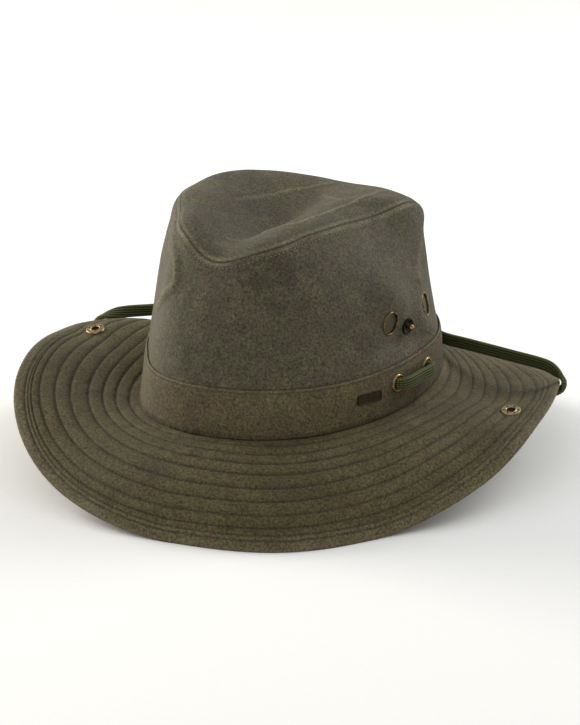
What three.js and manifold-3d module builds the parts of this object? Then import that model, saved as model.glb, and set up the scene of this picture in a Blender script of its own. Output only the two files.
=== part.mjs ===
// Oilskin hat: soft pinched crown, wide stitched brim, band with a chin cord, brass fittings.
// Millimetres, +Z up. The front of the hat faces -Y and the wearer's left is +X.
// The hat stands on Z = 0 on the front and the back of its brim, as it does on a table.
// A turn is an angle seen from above, 0 at the front and growing towards the wearer's left.
import * as THREE from "three";
import { mergeVertices } from "three/addons/utils/BufferGeometryUtils.js";
import Module from "manifold-3d";

const wasm = await Module();
wasm.setup();

const FULL_TURN = 2 * Math.PI;
const GAP = 0.3;

// Cloth thicknesses.
const CROWN_CLOTH = 1.4;
const BAND_CLOTH = 1.1;
const BRIM_CLOTH = 2.4;

// The head oval, measured outside the band where the band meets the brim.
const HEAD = { halfWidth: 85, halfLength: 100, squareness: 2.13, backFlare: 0.054 };

// Height of the seam between crown and brim above the table, and how it rises and falls.
const SEAT = 45.4;
const SEAT_WAVE = { back: 3.9, ends: 1.6, left: 3.9 };

const BAND_HEIGHT = 29;
const BRIM_WIDTH = 73.3;
const BRIM_LEDGE = 3.5;

// Where the middle of the tip lies in plan: the soft crown leans to the wearer's right.
const TIP_MIDDLE = { x: -8.2, y: 2.4 };
const TIP_HEIGHT = 100;

// The tip rises by this much just inside its seam, over about this width.
const TIP_RIDGE = { rise: 6.75, width: 9, sharpness: 1.2 };
const TIP_DENT = { x: -12, y: 0, halfLength: 52, halfWidth: 20, depth: 17 };

// The crown's side. reach and height: the tip seam, from the tip's middle and from the seat.
// lean: how far the side leans in at half height. shoulder: how far it bulges near the top.
const CROWN_ROWS = [
  { turn: 0, reach: 80, height: 94, lean: 6, shoulder: 1 },
  { turn: 20, reach: 78, height: 100.7, lean: 6, shoulder: 1 },
  { turn: 40, reach: 64.6, height: 104, lean: 5, shoulder: 0 },
  { turn: 65, reach: 53.8, height: 103.8, lean: 5, shoulder: 0 },
  { turn: 90, reach: 52.4, height: 102.6, lean: 4.5, shoulder: 0 },
  { turn: 108, reach: 60, height: 102.6, lean: 4, shoulder: 0 },
  { turn: 122, reach: 74.4, height: 104, lean: 5.6, shoulder: 1.8 },
  { turn: 136, reach: 87, height: 98.5, lean: 7, shoulder: 2.8 },
  { turn: 150, reach: 88, height: 96.5, lean: 4.7, shoulder: 2.5 },
  { turn: 167, reach: 82.7, height: 96.6, lean: 6, shoulder: 2 },
  { turn: 190, reach: 81.8, height: 99.2, lean: 7, shoulder: 2 },
  { turn: 210, reach: 79, height: 102.5, lean: 9, shoulder: 2 },
  { turn: 232, reach: 73, height: 105.8, lean: 9.9, shoulder: 2 },
  { turn: 258, reach: 62.9, height: 106.6, lean: 9.7, shoulder: 2.2 },
  { turn: 284, reach: 57.3, height: 109.3, lean: 8, shoulder: 2.3 },
  { turn: 310, reach: 57.8, height: 107, lean: 13.2, shoulder: 1.8 },
  { turn: 338, reach: 71.7, height: 104.2, lean: 7.9, shoulder: 1.9 },
];

// The brim's slope below level in degrees, beside the crown and at its edge.
const BRIM_ROWS = [
  { turn: 0, inner: 7.5, outer: 69.5 },
  { turn: 22.5, inner: 15.5, outer: 61.5 },
  { turn: 45, inner: 3.5, outer: 77 },
  { turn: 67.5, inner: -4.5, outer: 50 },
  { turn: 90, inner: 7, outer: -0.5 },
  { turn: 112.5, inner: 34, outer: -29.5 },
  { turn: 135, inner: 33, outer: -4.5 },
  { turn: 157.5, inner: 22.5, outer: 32.5 },
  { turn: 180, inner: 24, outer: 70 },
  { turn: 202.5, inner: 17.5, outer: 69 },
  { turn: 225, inner: 6.5, outer: 75.5 },
  { turn: 247.5, inner: -30, outer: 31.5 },
  { turn: 270, inner: -20.5, outer: 1 },
  { turn: 292.5, inner: -12.5, outer: -11 },
  { turn: 315, inner: -4.5, outer: -1.5 },
  { turn: 337.5, inner: 0, outer: 47.5 },
];

// Middle of the brim's outline in plan, which becomes the origin.
const PLAN_MIDDLE = { x: 0.77, y: -0.64 };

// Faces around and across each cloth piece.
const MESH = { around: 60, sideRows: 5, tipRings: 5, bandRows: 2, brimRows: 6, brimAround: 80 };

// Fittings on each side of the hat: a turn, a share of the crown's height, and radii.
const EYELET = {
  turns: [72.3, 102.1],
  rise: 0.497,
  flange: 7.15,
  hole: 5.9,
  barrel: 6.3,
  sides: 16,
};
const SCREEN = { radius: 5.6, thickness: 0.4, depth: 0.3 };
const GROMMET = {
  turns: [71.1, 92.4],
  rise: 0.175,
  flange: 5.5,
  hole: 3.4,
  barrel: 3.9,
  sides: 14,
};
const STUD = { turn: 84, rise: 0.445, dish: 5.2, rim: 0.9, post: 1.3, ball: 2.1, height: 3.6 };
const SOCKET = { turn: 96.4, inward: 21, flange: 6.1, hole: 2.1, thickness: 1, lift: 0.75 };
const PLATE = { turn: 55.8, rise: 0.154, length: 17.5, width: 5.8, thickness: 0.9 };
const FLANGE_THICKNESS = 0.7;
const FLANGE_SEAT = 0.35;
const BARREL_OVERHANG = 0.2;

const CORD = { radius: 2.5, sides: 8, steps: 90, knot: 4.8 };

// The cord's route from each front grommet, the same on both sides: out of the band, back along
// it, in through the rear grommet and down inside the crown. rise: how far up the crown.
// out: how far off the crown's face.
const CORD_AT_BAND = [
  { turn: 71.1, rise: 0.175, out: -2.6 },
  { turn: 71.1, rise: 0.175, out: 0.5 },
  { turn: 71.2, rise: 0.175, out: 3.1 },
  { turn: 71.8, rise: 0.176, out: 5.1 },
  { turn: 73.4, rise: 0.177, out: 6.2 },
  { turn: 76.6, rise: 0.178, out: 6.5 },
  { turn: 82, rise: 0.18, out: 6.4 },
  { turn: 87, rise: 0.178, out: 6.9 },
  { turn: 90, rise: 0.177, out: 6.8 },
  { turn: 91.8, rise: 0.176, out: 5.6 },
  { turn: 92.4, rise: 0.175, out: 3.3 },
  { turn: 92.4, rise: 0.175, out: 0.5 },
  { turn: 92.2, rise: 0.174, out: -2.4 },
  { turn: 92.5, rise: 0.155, out: -5.8 },
  { turn: 93.5, rise: 0.11, out: -6.6 },
  { turn: 94.4, rise: 0.04, out: -6.6 },
  { turn: 95.8, rise: -0.03, out: -5.9 },
  { turn: 97.2, rise: -0.078, out: -3.2 },
];

// Under the brim. share: how far out on the brim. left and right: the turn on each side.
const CORD_UNDER_BRIM = [
  { share: 0.08, left: 99.3, right: 110.6, out: -6.4 },
  { share: 0.22, left: 104, right: 111.8, out: -5.8 },
  { share: 0.42, left: 109.6, right: 112, out: -5.6 },
  { share: 0.64, left: 114.8, right: 111.6, out: -5.6 },
  { share: 0.84, left: 117.8, right: 111.2, out: -5.8 },
];

// Round the brim's edge, then taut over the brim to the back of the crown.
const CORD_OVER_BRIM = {
  left: [
    { x: 140.6, y: 66.7, z: 35.4 },
    { x: 145.2, y: 67.4, z: 36.8 },
    { x: 148.4, y: 67.9, z: 40 },
    { x: 149, y: 68, z: 44.2 },
    { x: 147.2, y: 68, z: 48.2 },
    { x: 143, y: 68.3, z: 51 },
    { x: 137.4, y: 68.7, z: 52.2 },
    { x: 112.5, y: 70.4, z: 54.3 },
    { x: 86, y: 72.2, z: 56.3 },
  ],
  right: [
    { x: -147, y: 46.2, z: 37 },
    { x: -152, y: 47.2, z: 36 },
    { x: -155.2, y: 48, z: 38.4 },
    { x: -155.8, y: 48.5, z: 41.6 },
    { x: -153.6, y: 49.4, z: 45.2 },
    { x: -147.6, y: 51, z: 47.8 },
    { x: -137, y: 54.4, z: 50 },
    { x: -122.5, y: 58.7, z: 51.9 },
    { x: -94.5, y: 67.3, z: 55.9 },
  ],
};

// Round the back of the band. out: how far off the head oval. height: above the table.
const CORD_BACK = [
  { turn: 138.2, out: 3.8, height: 57.6 },
  { turn: 150, out: 3.1, height: 59 },
  { turn: 165, out: 3.1, height: 60 },
  { turn: 180, out: 3.1, height: 60.4 },
  { turn: 195, out: 3.1, height: 60.4 },
  { turn: 210, out: 3.3, height: 60 },
  { turn: 221, out: 4.4, height: 59 },
];

const COLOURS = {
  crown: 0x5d5b48,
  band: 0x544f3b,
  brim: 0x59563c,
  brass: 0xa08a56,
  darkMetal: 0x3a3630,
  mesh: 0x4d4a3d,
  cord: 0x3d4a2b,
};

const radians = THREE.MathUtils.degToRad;

// Smooth value of one column of a table at any turn, carried on round the hat.
function around(rows, column, turn) {
  const degrees = THREE.MathUtils.euclideanModulo(THREE.MathUtils.radToDeg(turn), 360);
  const count = rows.length;
  const before = (rows.findLastIndex((row) => row.turn <= degrees) + count) % count;
  const row = (step) => rows[(before + step + count) % count];
  const span = (step) => THREE.MathUtils.euclideanModulo(row(step + 1).turn - row(step).turn, 360);
  const rate = (step) => (row(step + 1)[column] - row(step)[column]) / span(step);
  const slope = (step) =>
    (rate(step - 1) * span(step) + rate(step) * span(step - 1)) / (span(step) + span(step - 1));
  const part = THREE.MathUtils.euclideanModulo(degrees - row(0).turn, 360) / span(0);
  const square = part * part;
  const cube = square * part;
  return (
    (2 * cube - 3 * square + 1) * row(0)[column] +
    (cube - 2 * square + part) * span(0) * slope(0) +
    (3 * square - 2 * cube) * row(1)[column] +
    (cube - square) * span(0) * slope(1)
  );
}

function headReach(turn) {
  const across = Math.abs(Math.sin(turn));
  const along = Math.abs(Math.cos(turn));
  const power = HEAD.squareness;
  const oval = (across / HEAD.halfWidth) ** power + (along / HEAD.halfLength) ** power;
  return oval ** (-1 / power) * (1 - HEAD.backFlare * Math.cos(turn) * across ** 2);
}

function seatHeight(turn) {
  return (
    SEAT -
    SEAT_WAVE.back * Math.cos(turn) +
    SEAT_WAVE.ends * Math.cos(2 * turn) +
    SEAT_WAVE.left * Math.sin(turn)
  );
}

// A point of the crown's side, outside. rise is 0 at the brim and 1 at the tip seam.
function crownSide(turn, rise, outward = 0) {
  const foot = headReach(turn) - BAND_CLOTH - GAP;
  const waist = headReach(turn) - around(CROWN_ROWS, "lean", turn);
  const top = around(CROWN_ROWS, "reach", turn);
  const bulge = (around(CROWN_ROWS, "shoulder", turn) * rise ** 5 * (1 - rise)) / 0.067;
  const reach =
    foot * (1 - rise) * (1 - 2 * rise) +
    waist * 4 * rise * (1 - rise) +
    top * rise * (2 * rise - 1) +
    bulge +
    outward;
  const seamHeight = SEAT + around(CROWN_ROWS, "height", turn);
  return new THREE.Vector3(
    TIP_MIDDLE.x * rise ** 2 + reach * Math.sin(turn),
    TIP_MIDDLE.y * rise ** 2 - reach * Math.cos(turn),
    THREE.MathUtils.lerp(seatHeight(turn), seamHeight, rise),
  );
}

// A point of the tip, outside. share is 1 at the tip seam and 0 in the middle.
function crownTip(turn, share) {
  const reach = around(CROWN_ROWS, "reach", turn);
  const seamHeight = SEAT + around(CROWN_ROWS, "height", turn);
  const x = TIP_MIDDLE.x + share * reach * Math.sin(turn);
  const y = TIP_MIDDLE.y - share * reach * Math.cos(turn);
  const inside = (1 - share) * reach;
  const near = Math.exp(-((inside / TIP_RIDGE.width) ** TIP_RIDGE.sharpness));
  const ridge = TIP_RIDGE.rise * (1 - near);
  const along = (y - TIP_DENT.y) / TIP_DENT.halfLength;
  const across = (x - TIP_DENT.x) / TIP_DENT.halfWidth;
  const dent = TIP_DENT.depth * Math.exp(-along * along - across * across) * (1 - share ** 8);
  return new THREE.Vector3(
    x,
    y,
    THREE.MathUtils.lerp(SEAT + TIP_HEIGHT, seamHeight, share * share) + ridge - dent,
  );
}

// Direction in plan straight out from the head oval.
function outwardAt(turn) {
  const small = 0.001;
  const before = turn - small;
  const after = turn + small;
  const dx = headReach(after) * Math.sin(after) - headReach(before) * Math.sin(before);
  const dy = -headReach(after) * Math.cos(after) + headReach(before) * Math.cos(before);
  return new THREE.Vector2(-dy, dx).normalize().multiplyScalar(-1);
}

// Points up the brim's top face from the crown to the edge, one for each step outwards.
// Where the brim would reach below the table its fall is shortened, so that it rests there.
function brimLine(turn, steps) {
  const inner = radians(around(BRIM_ROWS, "inner", turn));
  const outer = radians(around(BRIM_ROWS, "outer", turn));
  const away = outwardAt(turn);
  const start = headReach(turn);
  const fine = 4;
  const step = BRIM_WIDTH / steps / fine;
  let out = 0;
  let fall = 0;
  const line = [{ out, fall, slope: inner }];
  for (let i = 1; i <= steps * fine; i += 1) {
    const slope = THREE.MathUtils.lerp(inner, outer, (i - 0.5) / steps / fine);
    out += Math.cos(slope) * step;
    fall += Math.sin(slope) * step;
    if (i % fine === 0) {
      line.push({ out, fall, slope });
    }
  }
  const shorten = Math.min(1, seatHeight(turn) / fall) || 1;
  const scale = fall > 0 ? shorten : 1;
  return line.map((point) => ({
    top: new THREE.Vector3(
      start * Math.sin(turn) + away.x * point.out,
      -start * Math.cos(turn) + away.y * point.out,
      seatHeight(turn) - point.fall * scale,
    ),
    normal: new THREE.Vector3(
      away.x * Math.sin(point.slope),
      away.y * Math.sin(point.slope),
      Math.cos(point.slope),
    ),
  }));
}

// Outward normal of a surface given as a function of turn and a second value.
function normalOf(surface, turn, second, small = 0.002) {
  const sideways = surface(turn + small, second).sub(surface(turn - small, second));
  const upwards = surface(turn, second + small).sub(surface(turn, second - small));
  return sideways.cross(upwards).normalize();
}

// A closed solid swept round the hat from one section to the next. Each four-cornered face is
// split along its shorter diagonal, so that two pieces that meet are split alike.
function sweepRound(count, sectionAt, closedSection) {
  const sections = Array.from({ length: count }, (_, i) => sectionAt((i / count) * FULL_TURN));
  const length = sections[0].length;
  const points = sections.flat();
  const faces = [];
  for (let i = 0; i < count; i += 1) {
    const here = i * length;
    const next = ((i + 1) % count) * length;
    for (let j = 0; j < (closedSection ? length : length - 1); j += 1) {
      const up = (j + 1) % length;
      const [a, b, c, d] = [here + j, next + j, next + up, here + up];
      if (points[a].distanceTo(points[c]) < points[b].distanceTo(points[d])) {
        faces.push(a, b, c, a, c, d);
      } else {
        faces.push(a, b, d, b, c, d);
      }
    }
  }
  return solidGeometry(points.flatMap((point) => [point.x, point.y, point.z]), faces);
}

// An indexed geometry whose shared corners are merged and whose empty faces are left out.
function solidGeometry(positions, index) {
  const loose = new THREE.BufferGeometry();
  loose.setAttribute("position", new THREE.Float32BufferAttribute(positions, 3));
  loose.setIndex(index);
  const merged = mergeVertices(loose, 1e-4);
  const corners = Array.from(merged.index.array);
  const kept = [];
  for (let i = 0; i < corners.length; i += 3) {
    const face = corners.slice(i, i + 3);
    if (new Set(face).size === 3) {
      kept.push(...face);
    }
  }
  merged.setIndex(kept);
  merged.computeVertexNormals();
  return merged;
}

function toManifold(geometry) {
  const bare = geometry.clone();
  bare.deleteAttribute("normal");
  bare.deleteAttribute("uv");
  const merged = mergeVertices(bare, 1e-4);
  const mesh = new wasm.Mesh({
    numProp: 3,
    vertProperties: new Float32Array(merged.attributes.position.array),
    triVerts: new Uint32Array(merged.index.array),
  });
  return new wasm.Manifold(mesh);
}

function fromManifold(manifold) {
  const mesh = manifold.getMesh();
  const geometry = new THREE.BufferGeometry();
  geometry.setAttribute("position", new THREE.Float32BufferAttribute(mesh.vertProperties, 3));
  geometry.setIndex(Array.from(mesh.triVerts));
  geometry.computeVertexNormals();
  return geometry;
}

function cutHoles(geometry, cutters) {
  const cut = (solid, cutter) => solid.subtract(toManifold(cutter));
  return fromManifold(cutters.reduce(cut, toManifold(geometry)));
}

const material = (color, roughness, metalness = 0) =>
  new THREE.MeshStandardMaterial({ color, roughness, metalness });

const MATERIALS = {
  crown: material(COLOURS.crown, 0.8),
  band: material(COLOURS.band, 0.78),
  brim: material(COLOURS.brim, 0.8),
  brass: material(COLOURS.brass, 0.38, 1),
  darkMetal: material(COLOURS.darkMetal, 0.4, 1),
  mesh: material(COLOURS.mesh, 0.5, 0.6),
  cord: material(COLOURS.cord, 0.85),
};

const hat = new THREE.Group();
hat.position.set(-PLAN_MIDDLE.x, -PLAN_MIDDLE.y, 0);

function addPiece(name, geometry, finish, matrix) {
  const mesh = new THREE.Mesh(geometry, MATERIALS[finish]);
  mesh.name = name;
  if (matrix) {
    mesh.applyMatrix4(matrix);
  }
  hat.add(mesh);
}

const steps = (count) => Array.from({ length: count + 1 }, (_, i) => i / count);

// Mitre at the tip seam: the way from its outer corner to its inner one.
function seamMitre(turn) {
  const side = normalOf(crownSide, turn, 0.995);
  const tip = normalOf(crownTip, turn, 0.995).multiplyScalar(-1);
  const middle = side.clone().add(tip).normalize();
  return middle.multiplyScalar(-CROWN_CLOTH / Math.max(middle.dot(side), 0.6));
}

// Shares of the crown's height where the band has its rows, from its foot to its top edge.
function bandRises(turn) {
  const crownHeight = SEAT + around(CROWN_ROWS, "height", turn) - seatHeight(turn);
  return steps(MESH.bandRows).map((share) => (share * BAND_HEIGHT) / crownHeight);
}

function crownSideGeometry() {
  const topRise = 1 - GAP / TIP_HEIGHT;
  return sweepRound(
    MESH.around,
    (turn) => {
      const behindBand = bandRises(turn);
      const bandTop = behindBand.at(-1);
      const above = steps(MESH.sideRows).slice(1);
      const riseAbove = (share) => THREE.MathUtils.lerp(bandTop, topRise, share);
      const rises = [...behindBand, ...above.map(riseAbove)];
      const outer = rises.map((rise) => crownSide(turn, rise));
      const inner = outer.map((point, i) => {
        const inward = normalOf(crownSide, turn, rises[i]).multiplyScalar(-CROWN_CLOTH);
        return point.clone().add(i === outer.length - 1 ? seamMitre(turn) : inward);
      });
      outer[0].z += GAP;
      inner[0].z = outer[0].z;
      return [...outer, ...inner.reverse()];
    },
    true,
  );
}

function crownTipGeometry() {
  const shares = steps(MESH.tipRings).map((share) => 1 - (1 - share) ** 1.6);
  return sweepRound(
    MESH.around,
    (turn) => {
      const top = shares.map((share) => crownTip(share === 0 ? 0 : turn, share));
      const under = shares.map((share, i) => {
        if (i === 0) {
          return top[0].clone().setZ(top[0].z - CROWN_CLOTH);
        }
        const inward = normalOf(crownTip, turn, share).multiplyScalar(CROWN_CLOTH);
        return top[i].clone().add(i === MESH.tipRings ? seamMitre(turn) : inward);
      });
      return [...under, ...top.reverse()];
    },
    false,
  );
}

function bandGeometry() {
  return sweepRound(
    MESH.around,
    (turn) => {
      const rises = bandRises(turn);
      const inner = rises.map((rise) => crownSide(turn, rise, GAP));
      const outer = rises.map((rise) => crownSide(turn, rise, GAP + BAND_CLOTH));
      inner[0].z += GAP;
      outer[0].z += GAP;
      return [...outer, ...inner.reverse()];
    },
    true,
  );
}

function brimGeometry() {
  return sweepRound(
    MESH.brimAround,
    (turn) => {
      const line = brimLine(turn, MESH.brimRows);
      const ledge = headReach(turn) - BRIM_LEDGE;
      const seat = seatHeight(turn);
      const lip = new THREE.Vector3(ledge * Math.sin(turn), -ledge * Math.cos(turn), seat);
      const top = [lip, ...line.map((point) => point.top)];
      const under = line.map((point) => {
        const below = point.top.clone().addScaledVector(point.normal, -BRIM_CLOTH);
        return below.setZ(Math.max(below.z, 0));
      });
      under.unshift(lip.clone().setZ(lip.z - BRIM_CLOTH));
      return [...under, ...top.reverse()];
    },
    true,
  );
}

// A place on a surface with its Y axis pointing straight out of it.
function placeOn(surface, turn, second) {
  const out = normalOf(surface, turn, second);
  const along = new THREE.Vector3(Math.cos(turn), Math.sin(turn), 0);
  along.addScaledVector(out, -along.dot(out)).normalize();
  const matrix = new THREE.Matrix4().makeBasis(along, out, along.clone().cross(out));
  return matrix.setPosition(surface(turn, second));
}

// A flanged ring turned from an L-shaped section, its flange seated at a given height.
function flangedRing({ flange, hole, barrel, sides }, seat) {
  const top = seat + FLANGE_THICKNESS;
  const bottom = -CROWN_CLOTH - BARREL_OVERHANG;
  const section = [
    [hole, bottom],
    [barrel, bottom],
    [barrel, seat],
    [flange, seat],
    [flange, top],
    [hole, top],
    [hole, bottom],
  ].map(([x, y]) => new THREE.Vector2(x, y));
  return new THREE.LatheGeometry(section, sides);
}

function cutterThrough({ barrel, sides }, matrix) {
  return new THREE.CylinderGeometry(barrel + GAP, barrel + GAP, 12, sides).applyMatrix4(matrix);
}

function screenGeometry() {
  const { radius, thickness, depth } = SCREEN;
  const disc = new THREE.CylinderGeometry(radius, radius, thickness, EYELET.sides);
  return disc.translate(0, -depth, 0);
}

function studGeometry() {
  const section = [
    [0, FLANGE_SEAT],
    [STUD.dish, FLANGE_SEAT],
    [STUD.dish, FLANGE_SEAT + STUD.rim],
    [STUD.post, FLANGE_SEAT + STUD.rim / 2],
    [STUD.post, FLANGE_SEAT + STUD.height / 2],
    [STUD.ball, FLANGE_SEAT + STUD.height * 0.7],
    [STUD.post, FLANGE_SEAT + STUD.height],
    [0, FLANGE_SEAT + STUD.height],
  ].map(([x, y]) => new THREE.Vector2(x, y));
  return new THREE.LatheGeometry(section, 16);
}

function socketGeometry() {
  const section = [
    [SOCKET.hole, SOCKET.lift],
    [SOCKET.flange, SOCKET.lift],
    [SOCKET.flange - 0.6, SOCKET.lift + SOCKET.thickness],
    [SOCKET.hole, SOCKET.lift + SOCKET.thickness],
    [SOCKET.hole, SOCKET.lift],
  ].map(([x, y]) => new THREE.Vector2(x, y));
  return new THREE.LatheGeometry(section, 16);
}

// A point of the brim's top face and the normal there; share is how far out on the brim.
function brimAt(turn, share) {
  const pieces = 40;
  const line = brimLine(turn, pieces);
  const at = THREE.MathUtils.clamp(share * pieces, 0, pieces - 1e-6);
  const before = Math.floor(at);
  const point = line[before].top.clone().lerp(line[before + 1].top, at - before);
  return { point, normal: line[before].normal };
}

// The soft crown sits a little twisted on the brim, so that its right fittings are further back.
const SIDES = [
  { name: "left", sign: 1, back: 0 },
  { name: "right", sign: -1, back: 12 },
];
const crownTurn = ({ sign, back }, turn) => sign * radians(turn + back);

const ENDS = ["front", "rear"];
const bandCover = GAP + BAND_CLOTH;

const holesInCrown = [];
const holesInBand = [];
for (const side of SIDES) {
  ENDS.forEach((end, i) => {
    const eyeletPlace = placeOn(crownSide, crownTurn(side, EYELET.turns[i]), EYELET.rise);
    const grommetPlace = placeOn(crownSide, crownTurn(side, GROMMET.turns[i]), GROMMET.rise);
    const grommet = flangedRing(GROMMET, bandCover + FLANGE_SEAT);
    const where = `${side.name}_${end}`;
    addPiece(`eyelet_${where}`, flangedRing(EYELET, FLANGE_SEAT), "brass", eyeletPlace);
    addPiece(`eyelet_screen_${where}`, screenGeometry(), "mesh", eyeletPlace);
    addPiece(`cord_grommet_${where}`, grommet, "brass", grommetPlace);
    holesInCrown.push(cutterThrough(EYELET, eyeletPlace), cutterThrough(GROMMET, grommetPlace));
    holesInBand.push(cutterThrough(GROMMET, grommetPlace));
  });
  const studPlace = placeOn(crownSide, crownTurn(side, STUD.turn), STUD.rise);
  addPiece(`snap_stud_${side.name}`, studGeometry(), "darkMetal", studPlace);
  const inward = (turn, share) => brimAt(turn, 1 - share).point;
  const socketTurn = side.sign * radians(SOCKET.turn);
  const socketPlace = placeOn(inward, socketTurn, SOCKET.inward / BRIM_WIDTH);
  addPiece(`snap_socket_${side.name}`, socketGeometry(), "brass", socketPlace);
}

addPiece("crown_side", cutHoles(crownSideGeometry(), holesInCrown), "crown");
addPiece("crown_tip", crownTipGeometry(), "crown");
addPiece("hat_band", cutHoles(bandGeometry(), holesInBand), "band");
addPiece("brim", brimGeometry(), "brim");

const platePlace = placeOn(crownSide, radians(PLATE.turn), PLATE.rise);
const plate = new THREE.BoxGeometry(PLATE.length, PLATE.thickness, PLATE.width);
plate.translate(0, bandCover + FLANGE_SEAT + PLATE.thickness / 2, 0);
addPiece("band_plate", plate, "darkMetal", platePlace);

// The cord's points on one side, from its knot to where it reaches the back of the crown.
function cordSide(side) {
  const { name, sign } = side;
  const atBand = CORD_AT_BAND.map(({ turn, rise, out }) => {
    const angle = crownTurn(side, turn);
    const foot = normalOf(crownSide, angle, Math.max(rise, 0));
    return crownSide(angle, rise).addScaledVector(foot, out);
  });
  const underBrim = CORD_UNDER_BRIM.map((row) => {
    const { point, normal } = brimAt(sign * radians(row[name]), row.share);
    return point.addScaledVector(normal, row.out);
  });
  const overBrim = CORD_OVER_BRIM[name].map(
    ({ x, y, z }) => new THREE.Vector3(x, y, z),
  );
  return [...atBand, ...underBrim, ...overBrim];
}

const cordBack = CORD_BACK.map(({ turn, out, height }) => {
  const angle = radians(turn);
  const reach = headReach(angle) + out;
  return new THREE.Vector3(reach * Math.sin(angle), -reach * Math.cos(angle), height);
});

const cordCurve = new THREE.CatmullRomCurve3(
  [...cordSide(SIDES[0]), ...cordBack, ...cordSide(SIDES[1]).reverse()],
  false,
  "centripetal",
);
cordCurve.arcLengthDivisions = 2000;
const cordSection = new THREE.Shape(
  Array.from({ length: CORD.sides }, (_, i) => {
    const angle = (i / CORD.sides) * FULL_TURN;
    return new THREE.Vector2(CORD.radius * Math.cos(angle), CORD.radius * Math.sin(angle));
  }),
);
addPiece(
  "chin_cord",
  new THREE.ExtrudeGeometry(cordSection, { steps: CORD.steps, extrudePath: cordCurve }),
  "cord",
);

// The knots inside the front grommets that stop the cord's ends.
SIDES.forEach(({ name }, i) => {
  const end = cordCurve.getPointAt(i);
  const inwards = cordCurve.getTangentAt(i).multiplyScalar(i === 0 ? -1 : 1);
  const knot = new THREE.SphereGeometry(CORD.knot, 12, 8);
  knot.translate(...end.addScaledVector(inwards, CORD.knot + GAP));
  addPiece(`cord_knot_${name}`, knot, "cord");
});

export default hat;
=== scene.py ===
"""Looks of the oilskin hat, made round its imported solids.

The tables of the hat's shape are in millimetres, as a hatter would write them, and every mesh is
turned to metres when it is made. A turn is an angle seen from above, 0 at the front of the hat and
growing towards the wearer's left.
"""
import math

import bpy
import numpy as np
from mathutils import Matrix, Vector, noise


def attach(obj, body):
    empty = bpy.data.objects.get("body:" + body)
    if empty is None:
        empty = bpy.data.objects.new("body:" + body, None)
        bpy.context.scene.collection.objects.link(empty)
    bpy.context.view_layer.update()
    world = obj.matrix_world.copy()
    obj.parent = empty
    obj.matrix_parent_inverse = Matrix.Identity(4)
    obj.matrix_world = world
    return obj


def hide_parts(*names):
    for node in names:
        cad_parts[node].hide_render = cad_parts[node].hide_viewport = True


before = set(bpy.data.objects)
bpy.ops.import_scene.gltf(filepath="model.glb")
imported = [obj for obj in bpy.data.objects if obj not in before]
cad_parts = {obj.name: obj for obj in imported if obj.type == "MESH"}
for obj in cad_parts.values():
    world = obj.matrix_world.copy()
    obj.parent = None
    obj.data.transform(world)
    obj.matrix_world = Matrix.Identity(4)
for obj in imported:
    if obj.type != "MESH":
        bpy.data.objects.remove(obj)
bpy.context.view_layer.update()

MM = 0.001
FULL_TURN = 2 * math.pi
GAP = 0.3

# Cloth thicknesses.
CROWN_CLOTH = 1.4
BAND_CLOTH = 1.1
BRIM_CLOTH = 2.4

# The head oval, measured outside the band where the band meets the brim.
HEAD_HALF_WIDTH = 85
HEAD_HALF_LENGTH = 100
HEAD_SQUARENESS = 2.13
HEAD_BACK_FLARE = 0.054

# Height of the seam between crown and brim, and how it rises and falls round the hat.
SEAT = 45.4
SEAT_BACK = 3.9
SEAT_ENDS = 1.6
SEAT_LEFT = 3.9

BAND_HEIGHT = 29
BRIM_WIDTH = 73.3
BRIM_LEDGE = 3.5

TIP_MIDDLE = (-8.2, 2.4)
TIP_HEIGHT = 100
# Greatest value of the curve that the bulge of the shoulder follows.
SHOULDER_PEAK = 0.067
RIDGE_RISE = 6.75
RIDGE_WIDTH = 9
RIDGE_SHARPNESS = 1.2
DENT_MIDDLE = (-12, 0)
DENT_HALF_LENGTH = 52
DENT_HALF_WIDTH = 20
DENT_DEPTH = 17

# Middle of the brim's outline in plan, which is the origin.
PLAN_MIDDLE = (0.77, -0.64)


def table(columns, *rows):
    """A table as one array for each named column."""
    return {name: np.array(values, float) for name, values in zip(columns.split(), zip(*rows))}


# The crown's side: reach and height of the tip seam, lean at half height, and bulge of the
# shoulder. It is that of the solids, with the seam up to 2 mm higher at the front on the left.
CROWN = table(
    "turn reach height lean shoulder",
    (0, 80, 94, 6, 1),
    (20, 78, 101.6, 6, 1),
    (40, 64.6, 106, 5, 0),
    (65, 53.8, 105.6, 5, 0),
    (90, 52.4, 103.2, 4.5, 0),
    (108, 60, 102.6, 4, 0),
    (122, 74.4, 104, 5.6, 1.8),
    (136, 87, 98.5, 7, 2.8),
    (150, 88, 96.5, 4.7, 2.5),
    (167, 82.7, 96.6, 6, 2),
    (190, 81.8, 99.2, 7, 2),
    (210, 79, 102.5, 9, 2),
    (232, 73, 105.8, 9.9, 2),
    (258, 62.9, 106.6, 9.7, 2.2),
    (284, 57.3, 109.3, 8, 2.3),
    (310, 57.8, 107, 13.2, 1.8),
    (338, 71.7, 104.2, 7.9, 1.9),
)

# The brim's slope below level in degrees, beside the crown and at its edge.
BRIM = table(
    "turn inner outer",
    (0, 7.5, 69.5),
    (22.5, 15.5, 61.5),
    (45, 3.5, 77),
    (67.5, -4.5, 50),
    (90, 7, -0.5),
    (112.5, 34, -29.5),
    (135, 33, -4.5),
    (157.5, 22.5, 32.5),
    (180, 24, 70),
    (202.5, 17.5, 69),
    (225, 6.5, 75.5),
    (247.5, -30, 31.5),
    (270, -20.5, 1),
    (292.5, -12.5, -11),
    (315, -4.5, -1.5),
    (337.5, 0, 47.5),
)

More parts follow.
